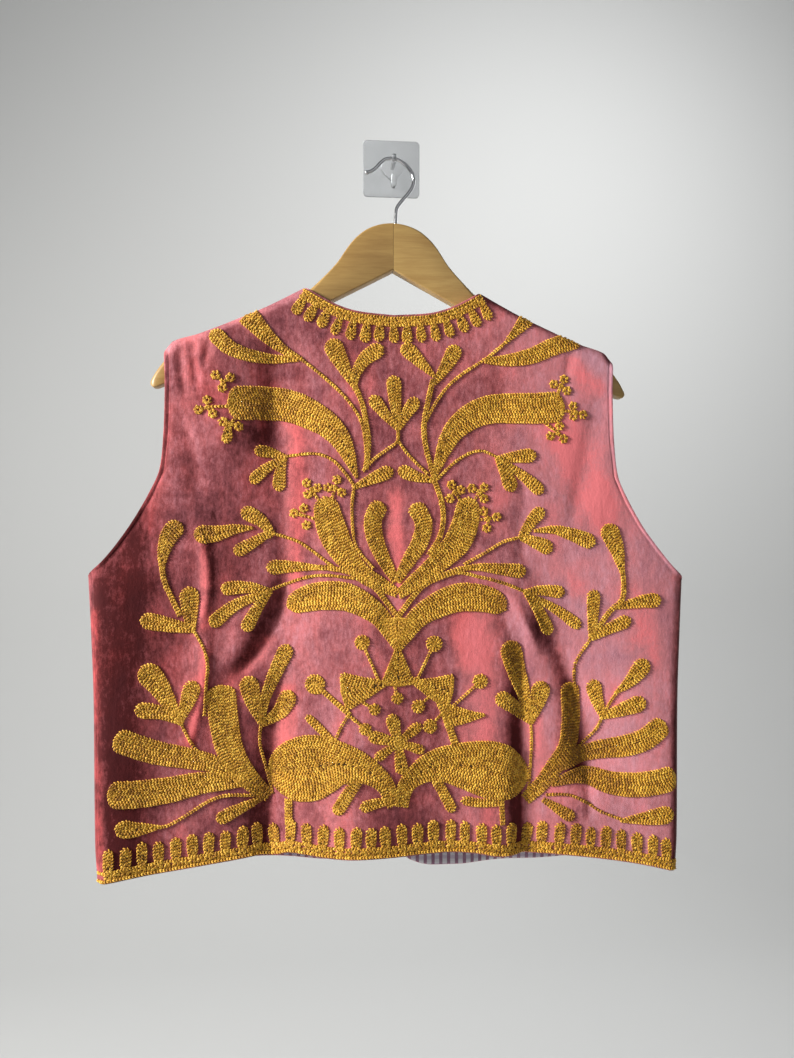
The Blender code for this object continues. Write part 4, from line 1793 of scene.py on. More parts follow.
    def pad(self, route: Sequence[Place], shape: LeafShape, half: float, root: float,
            table: Sequence[Place] = ()) -> tuple[list[Place], list[float]]:
        """Lay the low pad under a leaf.

        Args:
            route: Its middle line, from the end to the root.
            shape: Its outline.
            half: Its largest half width.
            root: Its half width at the root.
            table: Rows of (share along, half width) that stand in for the outline.

        Returns:
            The middle line again, evenly spaced, and the half width at each of its points.
        """
        line = evenly(curve_through(route, 10), 1.6)
        step = math.hypot(line[1][0] - line[0][0], line[1][1] - line[0][1])
        lengths = [k * step for k in range(len(line))]
        if table:
            widths = [max(along(table, d / lengths[-1]), 0.0) for d in lengths]
        else:
            widths = self.widths(shape, half, root, lengths)
        count = max(2 * math.ceil(half / 3.4), 2)
        every = 2 if len(line) > 8 else 1
        picked = sorted(set(list(range(0, len(line), every)) + [1, len(line) - 1]))
        strip = []
        for k in range(count + 1):
            share = 2.0 * k / count - 1.0
            offsets = [max(width - 0.7, 0.15) * share for width in widths]
            side = self.beside(line, offsets)
            strip.append([side[p] for p in picked])
        self.pads.append([list(column) for column in zip(*strip)])
        return line, widths

    def leaf(self, route: Sequence[Place], half: float, root: float = 1.3,
             shape: LeafShape = LeafShape.CLUB, table: Sequence[Place] = ()) -> None:
        """Fill a leaf: rows one inside the other from its outline in, and a pad below.

        Args:
            route: Its middle line, from the end to the root.
            half: Its largest half width.
            root: Its half width at the root.
            shape: Its outline.
            table: Rows of (share along, half width) that stand in for the outline.
        """
        line, widths = self.pad(route, shape, half, root, table)
        closed = shape is LeafShape.PETAL
        inset = 0.5 * self.pitch
        while max(widths) - inset > 0.3 * self.pitch:
            floor = 0.3 * self.pitch if inset > self.pitch else 0.0
            for first, last in self.runs([width - inset > floor for width in widths]):
                sway = self.hand.uniform(0.0, 6.28)
                part = range(first, last + 1)
                spread = [widths[k] - inset + (0.16 * math.sin(sway + k * 0.4) if floor else 0.0)
                          for k in part]
                left = self.beside(line, spread, first)
                right = self.beside(line, [-value for value in spread], first)
                ring = list(reversed(left)) + [line[max(first - 1, 0)]] + right
                if closed or last < len(line) - 2:
                    ring.append(left[-1])
                self.row(ring, False)
            inset += self.pitch
        rest = [self.middle_room(width) for width in widths]
        for first, last in self.runs([room > 0.7 * self.pitch for room in rest]):
            if last > first + 1:
                self.rows.append(line[first:last + 1])

    def middle_room(self, width: float) -> float:
        """Distance from the middle line to the innermost ring where a leaf has this half width.

        Args:
            width: The half width.

        Returns:
            The distance.
        """
        inset = 0.5 * self.pitch
        if width - inset <= 0.0:
            return 0.0
        while width - inset - self.pitch > 0.3 * self.pitch:
            inset += self.pitch
        return width - inset

    @staticmethod
    def runs(flags: Sequence[bool]) -> list[tuple[int, int]]:
        """First and last index of each stretch of true flags.

        Args:
            flags: The flags.

        Returns:
            The pairs of indices.
        """
        out = []
        first = None
        for k, flag in enumerate(list(flags) + [False]):
            if flag and first is None:
                first = k
            elif not flag and first is not None:
                out.append((first, k - 1))
                first = None
        return out


@dataclass
class ChainStitcher:
    """Geometry Nodes tree that sets the links of a chain stitch along rows."""

    spacing: float = 2.7
    link_length: float = 3.8
    strand_width: float = 1.6
    strand_height: float = 1.9
    splay: float = 0.42
    strand_offset: float = 0.70

    TURNS = ((-0.18, 0.06, -0.24), (0.18, 0.30, 0.24))
    SCALES = ((0.9, 0.88, 0.8), (1.12, 1.14, 1.2))
    INPUTS = (("Spacing", "NodeSocketFloat"), ("Link Length", "NodeSocketFloat"),
              ("Strand Width", "NodeSocketFloat"), ("Strand Height", "NodeSocketFloat"),
              ("Splay", "NodeSocketFloat"), ("Strand Offset", "NodeSocketFloat"),
              ("Seed", "NodeSocketInt"), ("Yarn", "NodeSocketMaterial"))

    def tree(self) -> bpy.types.NodeTree:
        """The node tree, made once.

        Returns:
            The tree.
        """
        ready = bpy.data.node_groups.get("chain_stitch")
        if ready is not None:
            return ready
        tree = bpy.data.node_groups.new("chain_stitch", "GeometryNodeTree")
        tree.is_modifier = True
        tree.interface.new_socket(name="Rows", in_out="INPUT", socket_type="NodeSocketGeometry")
        for label, kind in self.INPUTS:
            tree.interface.new_socket(name=label, in_out="INPUT", socket_type=kind)
        tree.interface.new_socket(name="Stitches", in_out="OUTPUT", socket_type="NodeSocketGeometry")
        graph = Graph(tree)
        given = graph.add("NodeGroupInput").outputs
        link = self.link(graph, given)
        curves = graph.add("GeometryNodeMeshToCurve", {"Mesh": given["Rows"]})
        spaced = graph.add("GeometryNodeResampleCurve", {
            "Curve": curves.outputs["Curve"], "Length": given["Spacing"]}, mode="LENGTH")
        tangent = graph.add("GeometryNodeInputTangent").outputs["Tangent"]
        aligned = graph.add("FunctionNodeAxesToRotation", {
            0: tangent, 1: graph.stored("lay", "FLOAT_VECTOR")},
            primary_axis="X", secondary_axis="Z")
        wander = self.random(graph, "FLOAT_VECTOR", *self.TURNS, given["Seed"])
        turned_to = graph.add("FunctionNodeRotateRotation", {
            0: aligned.outputs[0], 1: wander}, rotation_space="LOCAL")
        sizes = self.random(graph, "FLOAT_VECTOR", *self.SCALES, given["Seed"])
        placed = graph.add("GeometryNodeInstanceOnPoints", {
            "Points": spaced.outputs["Curve"], "Instance": link,
            "Rotation": turned_to.outputs[0], "Scale": sizes})
        # Each stitch's tone: a random value less the painted shade that its row carries.
        tone_and_shade = graph.maths("SUBTRACT", self.random(graph, "FLOAT", 0.0, 1.0, given["Seed"]),
                           graph.stored("yarn_shade", "FLOAT"))
        toned = graph.add("GeometryNodeStoreNamedAttribute", {
            "Geometry": placed.outputs["Instances"], "Name": "tone_and_shade"},
            data_type="FLOAT", domain="INSTANCE")
        value = [item for item in toned.inputs if item.enabled and item.name == "Value"][0]
        tree.links.new(tone_and_shade, value)
        real = graph.add("GeometryNodeRealizeInstances", {0: toned.outputs["Geometry"]})
        soft = graph.add("GeometryNodeSetShadeSmooth", {"Geometry": real.outputs["Geometry"]})
        dressed = graph.add("GeometryNodeSetMaterial", {
            "Geometry": soft.outputs["Geometry"], "Material": given["Yarn"]})
        graph.add("NodeGroupOutput", {0: dressed.outputs["Geometry"]})
        return tree

    @staticmethod
    def random(graph: Graph, kind: str, low: Any, high: Any, seed: Socket) -> Socket:
        """A random value between two limits.

        Args:
            graph: The graph to which the nodes are added.
            kind: The value's data type.
            low: The lower limit.
            high: The upper limit.
            seed: The seed.

        Returns:
            The value.
        """
        node = graph.add("FunctionNodeRandomValue", data_type=kind)
        sockets = {item.name: item for item in node.inputs if item.enabled}
        sockets["Min"].default_value = low
        sockets["Max"].default_value = high
        graph.tree.links.new(seed, sockets["Seed"])
        return next(item for item in node.outputs if item.enabled)

    @staticmethod
    def link(graph: Graph, given: Any) -> Socket:
        """One link: two strands of yarn that open into a V along +X.

        Args:
            graph: The graph to which the nodes are added.
            given: The tree's input node.

        Returns:
            The link's geometry.
        """
        ball = graph.add("GeometryNodeMeshUVSphere", {"Segments": 4, "Rings": 3, "Radius": 0.5})
        laid = graph.add("GeometryNodeTransform", {
            "Geometry": ball.outputs["Mesh"], "Rotation": (math.pi / 4, math.pi / 2, 0.0)})
        size = graph.add("ShaderNodeCombineXYZ", {
            0: given["Link Length"], 1: given["Strand Width"], 2: given["Strand Height"]})
        both = graph.add("GeometryNodeJoinGeometry")
        for sign in (-1.0, 1.0):
            away = graph.add("ShaderNodeMath", {0: given["Strand Offset"], 1: sign},
                             operation="MULTIPLY")
            angle = graph.add("ShaderNodeMath", {0: given["Splay"], 1: sign},
                              operation="MULTIPLY")
            shift = graph.add("ShaderNodeCombineXYZ", {1: away.outputs[0]})
            turn = graph.add("ShaderNodeCombineXYZ", {2: angle.outputs[0]})
            strand = graph.add("GeometryNodeTransform", {
                "Geometry": laid.outputs["Geometry"], "Translation": shift.outputs[0],
                "Rotation": turn.outputs[0], "Scale": size.outputs[0]})
            graph.tree.links.new(strand.outputs["Geometry"], both.inputs[0])
        return both.outputs[0]

    def stitch(self, drawing: Drawing, name: str, lift: float = 0.55) -> Item:
        """Turn a drawing's rows into stitches.

        Args:
            drawing: The rows and the face that they lie on.
            name: The piece's name.
            lift: Height of the links' middle above the cloth, in millimetres.

        Returns:
            The piece.
        """
        points, edges, lay, yarn_shades = [], [], [], []
        for row in drawing.rows:
            joined = False
            for x, z in row:
                if not drawing.face.holds(x, z):
                    joined = False
                    continue
                point, normal = drawing.face.point(x, z, lift)
                points.append(point)
                lay.append(normal)
                # Painted shade for the yarn at this point, from the yarn's shade patches.
                yarn_shades.append(sum(band.at(x, z) for band in YARN_SHADE_PATCHES))
                if joined:
                    edges.append((len(points) - 2, len(points) - 1))
                joined = True
        mesh = bpy.data.meshes.new(name + "_rows")
        mesh.from_pydata(points, edges, [])
        layer = mesh.attributes.new("lay", "FLOAT_VECTOR", "POINT")
        layer.data.foreach_set("vector", [value for normal in lay for value in normal])
        mesh.attributes.new("yarn_shade", "FLOAT", "POINT").data.foreach_set("value", yarn_shades)
        helper = linked(name + "_rows", mesh)
        modifier = helper.modifiers.new("stitches", "NODES")
        tree = self.tree()
        modifier.node_group = tree
        values = (self.spacing * MM, self.link_length * MM, self.strand_width * MM,
                  self.strand_height * MM, self.splay, self.strand_offset * MM,
                  drawing.seed, YARN.build())
        sockets = [item for item in tree.interface.items_tree
                   if item.in_out == "INPUT" and item.socket_type != "NodeSocketGeometry"]
        for socket, value in zip(sockets, values):
            modifier[socket.identifier] = value
        return file_piece(name, freed(helper, name))


PAD_EDGE, PAD_CROWN, PAD_FOOT, PAD_SEAM = -0.25, 0.28, -0.75, 2.6


def lay_pads(drawing: Drawing, name: str) -> Item:
    """Make a drawing's low pads, one closed form each, as a single piece, in dark yarn that paints the shade
    between the stitch rows.

    Args:
        drawing: The pads and the face that they lie on.
        name: The piece's name.

    Returns:
        The piece.
    """
    points: list[Vector] = []
    faces: list[tuple[int, ...]] = []
    flip = drawing.face is Face.FRONT_LEFT
    for grid in drawing.pads:
        first = len(points)
        high, wide = len(grid), len(grid[0])
        border = grid_border(high, wide)
        for near in (True, False):
            for i, row in enumerate(grid):
                for k, (x, z) in enumerate(row):
                    edge = i in (0, high - 1) or k in (0, wide - 1)
                    lift = PAD_EDGE if edge else PAD_CROWN
                    z = min(z, FORM.top_z(x) - PAD_SEAM)
                    points.append(drawing.face.point(x, z, lift if near else PAD_FOOT)[0])
        shift = high * wide
        faces += grid_faces(high, wide, first, flip)
        ring = [first + i * wide + k for i, k in border]
        for here, after in zip(ring, ring[1:] + ring[:1]):
            side = (after, here, here + shift, after + shift)
            faces.append(side[::-1] if flip else side)
    return file_piece(name, cleaned(mesh_from(name, points, faces, (UNDERLAY_SHADE,))))


@dataclass
class BackEmbroidery:
    """Leaf and flower scrolls on the back, in mirror image but drawn by an unsteady hand."""

    petal_pitch: float = 14.7
    petal_half: float = 5.0
    petal_length: float = 19.5
    neck_reach: float = 81.5
    neck_rows: tuple[float, float] = (2.6, 9.4)
    neck_petals: int = 15
    hem_reach: float = 267.0
    hem_rows: tuple[float, float] = (1.9, 9.3)
    hem_petal_reach: float = 257.0

    def neck_border(self) -> Drawing:
        """Looped band under the neckline with fifteen petals that hang from it.

        Returns:
            The drawing.
        """
        plan = Drawing(Face.BACK, 11)
        reach = self.neck_reach
        xs = [lerp(-reach, reach, k / 40) for k in range(41)]
        rim = evenly([(x, along(FORM.neckline, abs(x))) for x in xs], 1.0)
        for inside in self.neck_rows:
            plan.row(Drawing.beside(rim, [-inside] * len(rim)), False)
        last = self.neck_petals - 1
        for number in range(last + 1):
            index = round(lerp(3, len(rim) - 4, number / last))
            lean = plan.hand.uniform(-0.05, 0.05)
            long = self.petal_length * plan.hand.uniform(0.9, 1.02) + 7.5
            route = [(x + lean * (d - 8), z) for d in (long, long - 9, 8.0)
                     for x, z in (Drawing.below(rim, index, d),)]
            plan.leaf(route, self.petal_half * plan.hand.uniform(0.9, 1.02), 2.2)
            plan.loops([Drawing.below(rim, index, 6.0)], 3.7)
        for number in range(last):
            index = round(lerp(3, len(rim) - 4, (number + 0.5) / last))
            plan.loops([Drawing.below(rim, index, 5.8)], 3.4)
        return plan

    def hem_border(self) -> Drawing:
        """Band of small loops along the hem with a petal above each of them.

        Returns:
            The drawing.
        """
        plan = Drawing(Face.BACK, 12)
        hem = FORM.back_hem
        reach, edge = self.hem_reach, self.hem_petal_reach
        xs = [lerp(-reach, reach, k / 110) for k in range(111)]
        for inside in self.hem_rows:
            plan.row([(x, along(hem, x) + inside) for x in xs], False)
        count = round(2 * edge / self.petal_pitch)
        for number in range(count + 1):
            x = lerp(-edge, edge, number / count) + plan.hand.uniform(-1.0, 1.0)
            z = along(hem, x)
            lean = plan.hand.uniform(-1.6, 1.6) + (2.0 if 115 < x < 190 else 0.0)
            high = 9.5 + self.petal_length * plan.hand.uniform(0.92, 1.06)
            route = [(x + lean, z + high), (x + lean * 0.5, z + high - 9), (x, z + 9.0)]
            plan.leaf(route, self.petal_half * plan.hand.uniform(0.88, 1.04), 3.0, LeafShape.PETAL)
            for part, radius in ((0.0, 3.9), (0.5, 3.6)):
                at = x + self.petal_pitch * part
                if abs(at) < reach - 1.0:
                    plan.loops([(at, along(hem, at) + 5.5)], radius)
        return plan

    def shoulder_scrolls(self) -> Drawing:
        """Leaves, buds and stems between the shoulders and the waist's upper joint.

        Returns:
            The drawing.
        """
        plan = Drawing(Face.BACK, 13)
        plan.leaf(((-136, -153), (-119, -171), (-102, -185), (-86, -193)), 10.0, 1.8, LeafShape.WEDGE)
        plan.leaf(((-167, -170), (-153, -184), (-137, -190.5), (-115, -193.5), (-90, -193)), 7.2, 2.4)
        plan.stem(((-86, -193), (-63, -211), (-47, -226), (-34, -243), (-28, -260), (-25, -292)))
        plan.leaf(((128.5, -148.5), (117, -161), (107, -172)), 7.4, 1.6, LeafShape.WEDGE)
        plan.leaf(((178, -167), (154, -174.5), (133, -184), (111, -189), (87, -190.5)), 8.4, 2.4,
                  LeafShape.HORN)
        plan.stem(((107, -172), (92, -185), (79, -194), (63, -205), (49, -218), (37, -236), (31, -248)))
        plan.leaf(((-59, -175), (-49, -195), (-37, -218)), 8.8, 1.8)
        plan.leaf(((-10.5, -180.5), (-26, -191), (-35, -206), (-36, -220)), 7.4, 1.8)
        plan.stem(((-36, -217), (-29, -235), (-25.5, -254), (-23.5, -271), (-26, -294)), 2)
        plan.leaf(((9, -178), (22, -190), (38, -206)), 7.2, 1.8)
        plan.leaf(((60, -177.5), (51, -194), (39, -213)), 7.4, 2.0)
        plan.stem(((37, -210), (32, -232), (28.5, -253), (30, -273), (37, -300)), 2)
        plan.leaf(((0, -207.5), (1.3, -229), (4, -256)), 6.8, 2.6)
        plan.leaf(((-20.5, -227), (-9, -242), (3, -256)), 6.2, 2.2)
        plan.leaf(((21.5, -228), (12.5, -242), (5, -256)), 6.2, 2.2)
        plan.stem(((4, -256), (3.5, -268), (-6, -276), (-18, -285), (-28, -296)))
        plan.stem(((4, -256), (4.3, -267), (10.5, -277), (19, -286.5), (31, -298)))
        horn_left = ((-152, -236), (-125, -235), (-104, -235.5), (-85, -241), (-62, -254), (-47, -271.5),
                     (-35, -302))
        horn_right = ((162, -232), (136, -234.5), (113, -235), (94.5, -236), (76, -242), (58.5, -255.5),
                      (48, -273), (37.5, -302))
        plan.leaf(horn_left, 15.6, 1.6, LeafShape.HORN)
        plan.leaf(horn_right, 14.6, 1.6, LeafShape.HORN)
        return plan

    def sprigs(self) -> Drawing:
        """Three-looped sprigs, the trefoils under the horns and the crowned cups.

        Returns:
            The drawing.
        """
        plan = Drawing(Face.BACK, 14)
        plan.loops(((-157.8, -222),))
        plan.sprig((-157, -216.5), ((-164, -210.5), (-150.5, -212.5)))
        plan.sprig((-171, -240.4), ((-171.4, -233.6), (-179.4, -242.8), (-166.4, -246)))
        plan.stem(((-170, -239.8), (-154, -239.2)))
        plan.sprig((-150, -255.5), ((-157, -253.5), (-143, -257.5)))
        plan.stem(((-150, -255), (-144, -247.5)))
        plan.leaf(((-153.8, -272.5), (-152.6, -262), (-151.5, -254)), 4.8, 1.4)
        plan.sprig((160, -212), ((153, -211), (163, -206), (165.5, -217)))
        plan.stem(((160, -211), (155, -224)))
        plan.sprig((174, -237), ((171.5, -231.5), (171.5, -241), (181, -239.5)))
        plan.stem(((173, -237), (158, -236)))
        plan.sprig((156, -257.5), ((158, -251), (149, -260.5), (161.5, -263)))
        plan.stem(((156, -257), (142, -247)))
        plan.leaf(((-128, -279), (-114.5, -280.5), (-101, -285)), 5.4, 2.4)
        plan.leaf(((-131.5, -308), (-118, -295.5), (-101, -285)), 5.4, 2.4)
        plan.leaf(((-106.3, -315.5), (-105.2, -299), (-101.5, -284)), 6.0, 2.6)
        plan.stem(((-101, -284), (-74, -281), (-57.5, -286.5), (-46.5, -297.5), (-36, -312)))
        plan.leaf(((134, -279), (115.5, -281), (97.5, -283.5)), 6.6, 2.6)
        plan.leaf(((111.8, -313), (106, -297.5), (98, -283)), 7.0, 2.6)
        plan.leaf(((139.8, -314.5), (126, -302), (106, -287)), 6.0, 2.0)
        plan.stem(((41, -303), (55.5, -288.5), (70, -279), (83.5, -276), (98, -282)))
        plan.leaf(((-1.8, -295.8), (-18.5, -303), (-37, -312)), 6.4, 2.0)
        plan.leaf(((5.0, -294.5), (20, -301), (37, -304.5)), 6.2, 2.0)
        plan.leaf(((-64, -321.5), (-60, -343), (-52.5, -363), (-42, -379), (-26, -394), (2, -409)),
                  14.0, 3.2, table=((0, 0), (0.03, 8.0), (0.08, 11.6), (0.3, 13.4), (0.5, 10.8),
                                    (0.7, 8.0), (0.85, 6.8), (1, 4.2)))
        plan.leaf(((70, -320.5), (67, -343), (59, -362), (47.5, -374), (34, -386.5), (4, -411)),
                  13.0, 3.2, table=((0, 0), (0.03, 8.0), (0.08, 11.0), (0.3, 12.6), (0.5, 10.8),
                                    (0.7, 8.2), (0.85, 6.8), (1, 4.2)))
        plan.loops(((-81, -347.5),))
        for heart, root, tips in (
                ((-76.5, -314), (-70, -324), ((-80.8, -308.5), (-79.8, -318.8), (-71, -313))),
                ((-54.5, -312), (-58, -324), ((-61, -312.5), (-52.8, -305), (-48.5, -317))),
                ((-85, -338), (-75, -341), ((-92.3, -336.5), (-83.3, -332))),
                ((57, -314.5), (63, -325), ((54, -308.5), (52.3, -321.3), (62.8, -313))),
                ((80.5, -314.5), (74, -325), ((73.2, -311.5), (84.8, -310.5), (84.5, -321))),
                ((88.5, -340), (79, -341), ((84, -333), (96.4, -338), (87, -348.5)))):
            plan.sprig(heart, tips)
            plan.stem((heart, root))
        plan.leaf(((-12, -326.5), (-19.5, -341.5), (-18, -358), (-11, -376), (1, -398)), 8.2, 3.4,
                  LeafShape.HORN)
        plan.leaf(((18.8, -327.5), (27.5, -345), (23, -364), (13, -380), (3, -398)), 8.2, 3.4,
                  LeafShape.HORN)
        plan.stem(((-37, -311), (-39, -329), (-38, -354), (-34, -369), (-20, -386)))
        plan.stem(((37, -303), (43, -319), (46, -337), (43, -356), (33, -373)), 2)
        return plan

    def waist_scrolls(self) -> Drawing:
        """Side clusters, their stems and the two wings that meet at the waist.

        Returns:
            The drawing.
        """
        plan = Drawing(Face.BACK, 15)
        plan.leaf(((-182, -357), (-162.5, -356), (-147, -352), (-131, -350.5)), 8.2, 1.4)
        plan.leaf(((-139.5, -334.5), (-122.5, -344), (-112, -357)), 6.8, 3.0)
        plan.leaf(((-146, -373.5), (-130.5, -364.5), (-113, -354)), 5.8, 2.8)
        plan.stem(((-113, -355), (-90, -362), (-75, -371.5), (-56, -386)))
        plan.leaf(((189.5, -362), (169, -354), (151, -349.5), (133, -350.5)), 7.2, 1.4)
        plan.leaf(((140, -330), (128, -344), (119.5, -358)), 6.2, 3.2)
        plan.leaf(((148.5, -368.5), (135, -362), (120, -357)), 6.8, 3.0)
        plan.stem(((118, -357), (102, -361.5), (85, -371.5), (66, -382)))
        plan.leaf(((-116.5, -387), (-100.5, -386), (-84, -386), (-70, -386.5)), 6.4, 1.8)
        plan.stem(((-74, -386.5), (-58, -387), (-34.5, -392.5), (-18, -404.5), (2, -430)), 2)
        plan.leaf(((123, -389), (102, -387), (81.5, -385), (66, -386)), 6.4, 1.8)
        plan.stem(((70, -385.5), (58, -388), (36, -397), (22, -407), (4, -430)), 2)
        plan.leaf(((-157.5, -406.5), (-135, -405), (-114, -409)), 6.2, 3.0)
        plan.leaf(((-167, -439), (-145, -421), (-116, -410)), 6.4, 2.2)
        plan.leaf(((-136.5, -444), (-126.5, -425.5), (-115, -409)), 6.0, 2.8)
        plan.stem(((-116, -408.5), (-100.5, -402), (-78.5, -395), (-60, -393.5), (-38, -396)))
        plan.leaf(((160, -408.5), (140, -406.5), (122.5, -408.5)), 5.8, 2.8)
        plan.leaf(((175, -440.5), (156, -426.5), (131, -412.5)), 5.4, 2.2)
        plan.leaf(((146.5, -447), (136, -426), (123.5, -408)), 6.2, 3.0)
        plan.stem(((123, -408), (101.5, -399.5), (79, -394), (59, -390.5), (37, -398)))
        wing_widths = ((0, 0), (0.03, 7.0), (0.1, 10.8), (0.3, 13.0), (0.5, 12.2), (0.7, 9.6),
                       (0.85, 7.6), (1, 3.2))
        plan.leaf(((-98, -423), (-84, -416.5), (-67.5, -412.5), (-45.5, -413), (-25.5, -422), (-9, -436.5),
                   (2.5, -460)), 13.5, 3.2, table=wing_widths)
        plan.leaf(((104, -424), (90, -416), (73, -413), (56.5, -414), (37, -422), (19, -435),
                   (4, -460)), 13.5, 3.2, table=wing_widths)
        plan.leaf(((-195.5, -347), (-205, -358.5), (-210, -374), (-211, -390)), 8.6, 1.8)
        plan.stem(((-211, -388), (-207.5, -403), (-195, -430)), 2)
        plan.leaf(((-186.8, -405.5), (-186, -423.5), (-185, -443)), 8.6, 4.0)
        plan.leaf(((-228.5, -434.3), (-205.5, -439), (-183, -443)), 7.6, 3.4)
        plan.stem(((-183, -443.5), (-173, -461.5), (-170, -477), (-171.5, -493.5), (-173, -521)))
        plan.leaf(((202.5, -344.5), (211.5, -368.5), (216, -390)), 9.2, 1.8)
        plan.stem(((216, -388), (217, -400), (215, -415), (202.5, -427), (187, -450)), 2)
        plan.leaf(((252, -415), (234, -416.5), (210, -422)), 6.8, 2.0)
        plan.leaf(((188.5, -406.5), (187.5, -428.5), (187, -451)), 6.2, 3.2)
        plan.leaf(((222.5, -433.5), (204, -441.5), (187, -450.5)), 6.2, 3.0)
        plan.stem(((186, -451), (173, -471.5), (170.5, -484.5), (172.5, -502)))
        return plan

    def side_fans(self) -> Drawing:
        """Leaf clusters and the great fans at the lower corners.

        Returns:
            The drawing.
        """
        plan = Drawing(Face.BACK, 16)
        plan.leaf(((-227.5, -477), (-212.5, -496), (-194, -528)), 10.6, 2.2)
        plan.leaf(((-233.3, -515.5), (-212.5, -518.5), (-193, -527.5)), 7.2, 2.8)
        plan.leaf(((-182, -491), (-188, -508.5), (-195.5, -528)), 7.8, 2.8)
        plan.stem(((-194.5, -527), (-187.5, -542), (-179, -554), (-162, -567)))
        plan.leaf(((-158.7, -495), (-156, -525), (-150, -554), (-135.5, -578), (-116, -597)), 13.2, 5.5,
                  LeafShape.HORN)
        plan.leaf(((-251, -541), (-218, -554), (-189, -560), (-163, -567), (-133, -585)), 10.6, 3.0,
                  LeafShape.HORN)
        plan.leaf(((-256.5, -591), (-232, -591.5), (-203.5, -588.5), (-175, -583), (-138, -582)), 12.2, 5.0,
                  LeafShape.HORN)
        plan.stem(((-124, -596.5), (-152, -595), (-169.5, -600), (-189, -612), (-206, -621), (-220, -622.5)))
        plan.leaf(((-250, -621), (-234, -623), (-214, -622)), 7.8, 1.6)
        plan.leaf(((-161.5, -617.5), (-144.5, -609), (-123, -599.5)), 6.0, 2.4)
        plan.leaf(((-97.3, -458.5), (-108.5, -481.5), (-118.5, -507), (-121.5, -529)), 7.2, 2.4)
        plan.leaf(((-134.3, -487), (-130, -507), (-121, -530)), 8.8, 3.2)
        plan.leaf(((-95.3, -500.5), (-105, -519), (-121, -530)), 8.2, 3.0)
        plan.stem(((-122, -528), (-123.5, -547.5), (-118, -570.5), (-112, -594)))
        plan.leaf(((166, -494.5), (167, -515), (166.5, -534), (162.5, -554.5), (152, -570), (140, -587),
                   (125, -603)), 9.4, 5.5, LeafShape.HORN)
        plan.leaf(((188, -491.5), (191.5, -507.5), (198, -526)), 7.0, 2.8)
        plan.leaf(((236.5, -510.5), (218, -517.5), (197, -525.5)), 7.8, 2.8)
        plan.leaf(((238.5, -472.5), (223, -491), (210, -502)), 8.2, 1.6)
        plan.stem(((211, -501), (204, -512), (197.5, -525), (192, -536.5), (182.5, -547), (166, -562)))
        plan.leaf(((255, -531), (238, -545.5), (217, -553), (196, -556.5), (176, -562.5), (153, -574)),
                  10.4, 3.0, LeafShape.HORN)
        plan.leaf(((266, -582), (245, -587), (224, -589), (203, -587), (185.5, -581.5), (169, -581),
                   (149, -588)), 11.6, 2.6, LeafShape.HORN)
        plan.stem(((144, -598.5), (164, -598), (180, -605), (196, -614.5), (218, -622.5)))
        plan.leaf(((263, -616), (245, -619), (227, -621), (214, -622.5)), 8.4, 1.6)
        plan.leaf(((168.5, -620), (156, -612.5), (141, -603.5)), 5.6, 2.4)
        plan.leaf(((107, -454.5), (114, -480), (121, -501), (128.5, -530)), 10.4, 2.4)
        plan.leaf(((96, -504.3), (111.5, -515), (128.5, -530)), 7.4, 2.8)
        plan.leaf(((139.8, -492.5), (134.5, -511), (128, -530)), 8.6, 3.4)
        plan.stem(((128.5, -529), (129.5, -545), (129, -563.5), (127, -597)))
        return plan

    def centre_sun(self) -> Drawing:
        """Crown of triangles and pins over the small flower, between the two great beans.

        Returns:
            The drawing.
        """
        plan = Drawing(Face.BACK, 17)
        plan.leaf(((3.3, -494), (3.1, -475), (2.8, -458)), 15.5, 1.2, LeafShape.WEDGE)
        plan.leaf(((3.2, -433), (3.2, -445), (3.2, -459)), 20.0, 1.2, LeafShape.WEDGE)
        plan.leaf(((-48, -500), (-28, -496.5), (-8, -492)), 17.5, 2.2, LeafShape.WEDGE)
        plan.leaf(((53.5, -500.5), (38, -497.5), (18, -491.5)), 16.0, 2.4, LeafShape.WEDGE)
        plan.leaf(((47, -523), (66, -523.5), (83, -522.5)), 11.5, 1.4, LeafShape.WEDGE)
        plan.stem(((18, -490), (34.5, -500), (44, -514), (50, -530), (56, -548)), 3)
        plan.leaf(((-80.5, -522.5), (-68, -534.5), (-57, -545)), 3.6, 2.8, LeafShape.PETAL)
        plan.stem(((-42, -520), (-48.5, -531), (-54, -543)))
        for disc, foot, radius in (((-29.7, -454.6), (-15, -489), 6.9), ((-72.8, -493.3), (-42, -520), 9.2),
                                   ((36.9, -456.1), (22, -487), 7.4), ((80, -491), (50, -518), 7.0),
                                   ((2.6, -506), (-0.7, -491), 5.4), ((-18.5, -516), (-30, -509), 5.4),
                                   ((-27, -534), (-42, -521), 5.6), ((22, -514), (35, -502.5), 6.2),
                                   ((33, -532.5), (45, -520), 6.6)):
            plan.stem((disc, ((disc[0] + foot[0]) / 2, (disc[1] + foot[1]) / 2), foot),
                      2 if radius > 9 else 1)
            plan.disc(*disc, radius)
        hub = (3.3, -547)
        for end, half in (((-3, -521.5), 6.2), ((23.5, -531), 4.9), ((27, -555), 4.5), ((7, -575.5), 5.8),
                          ((-17.5, -561.5), 4.5), ((-23.5, -540), 5.8)):
            plan.leaf((end, ((end[0] + hub[0]) / 2, (end[1] + hub[1]) / 2), hub), half, 2.6)
        return plan

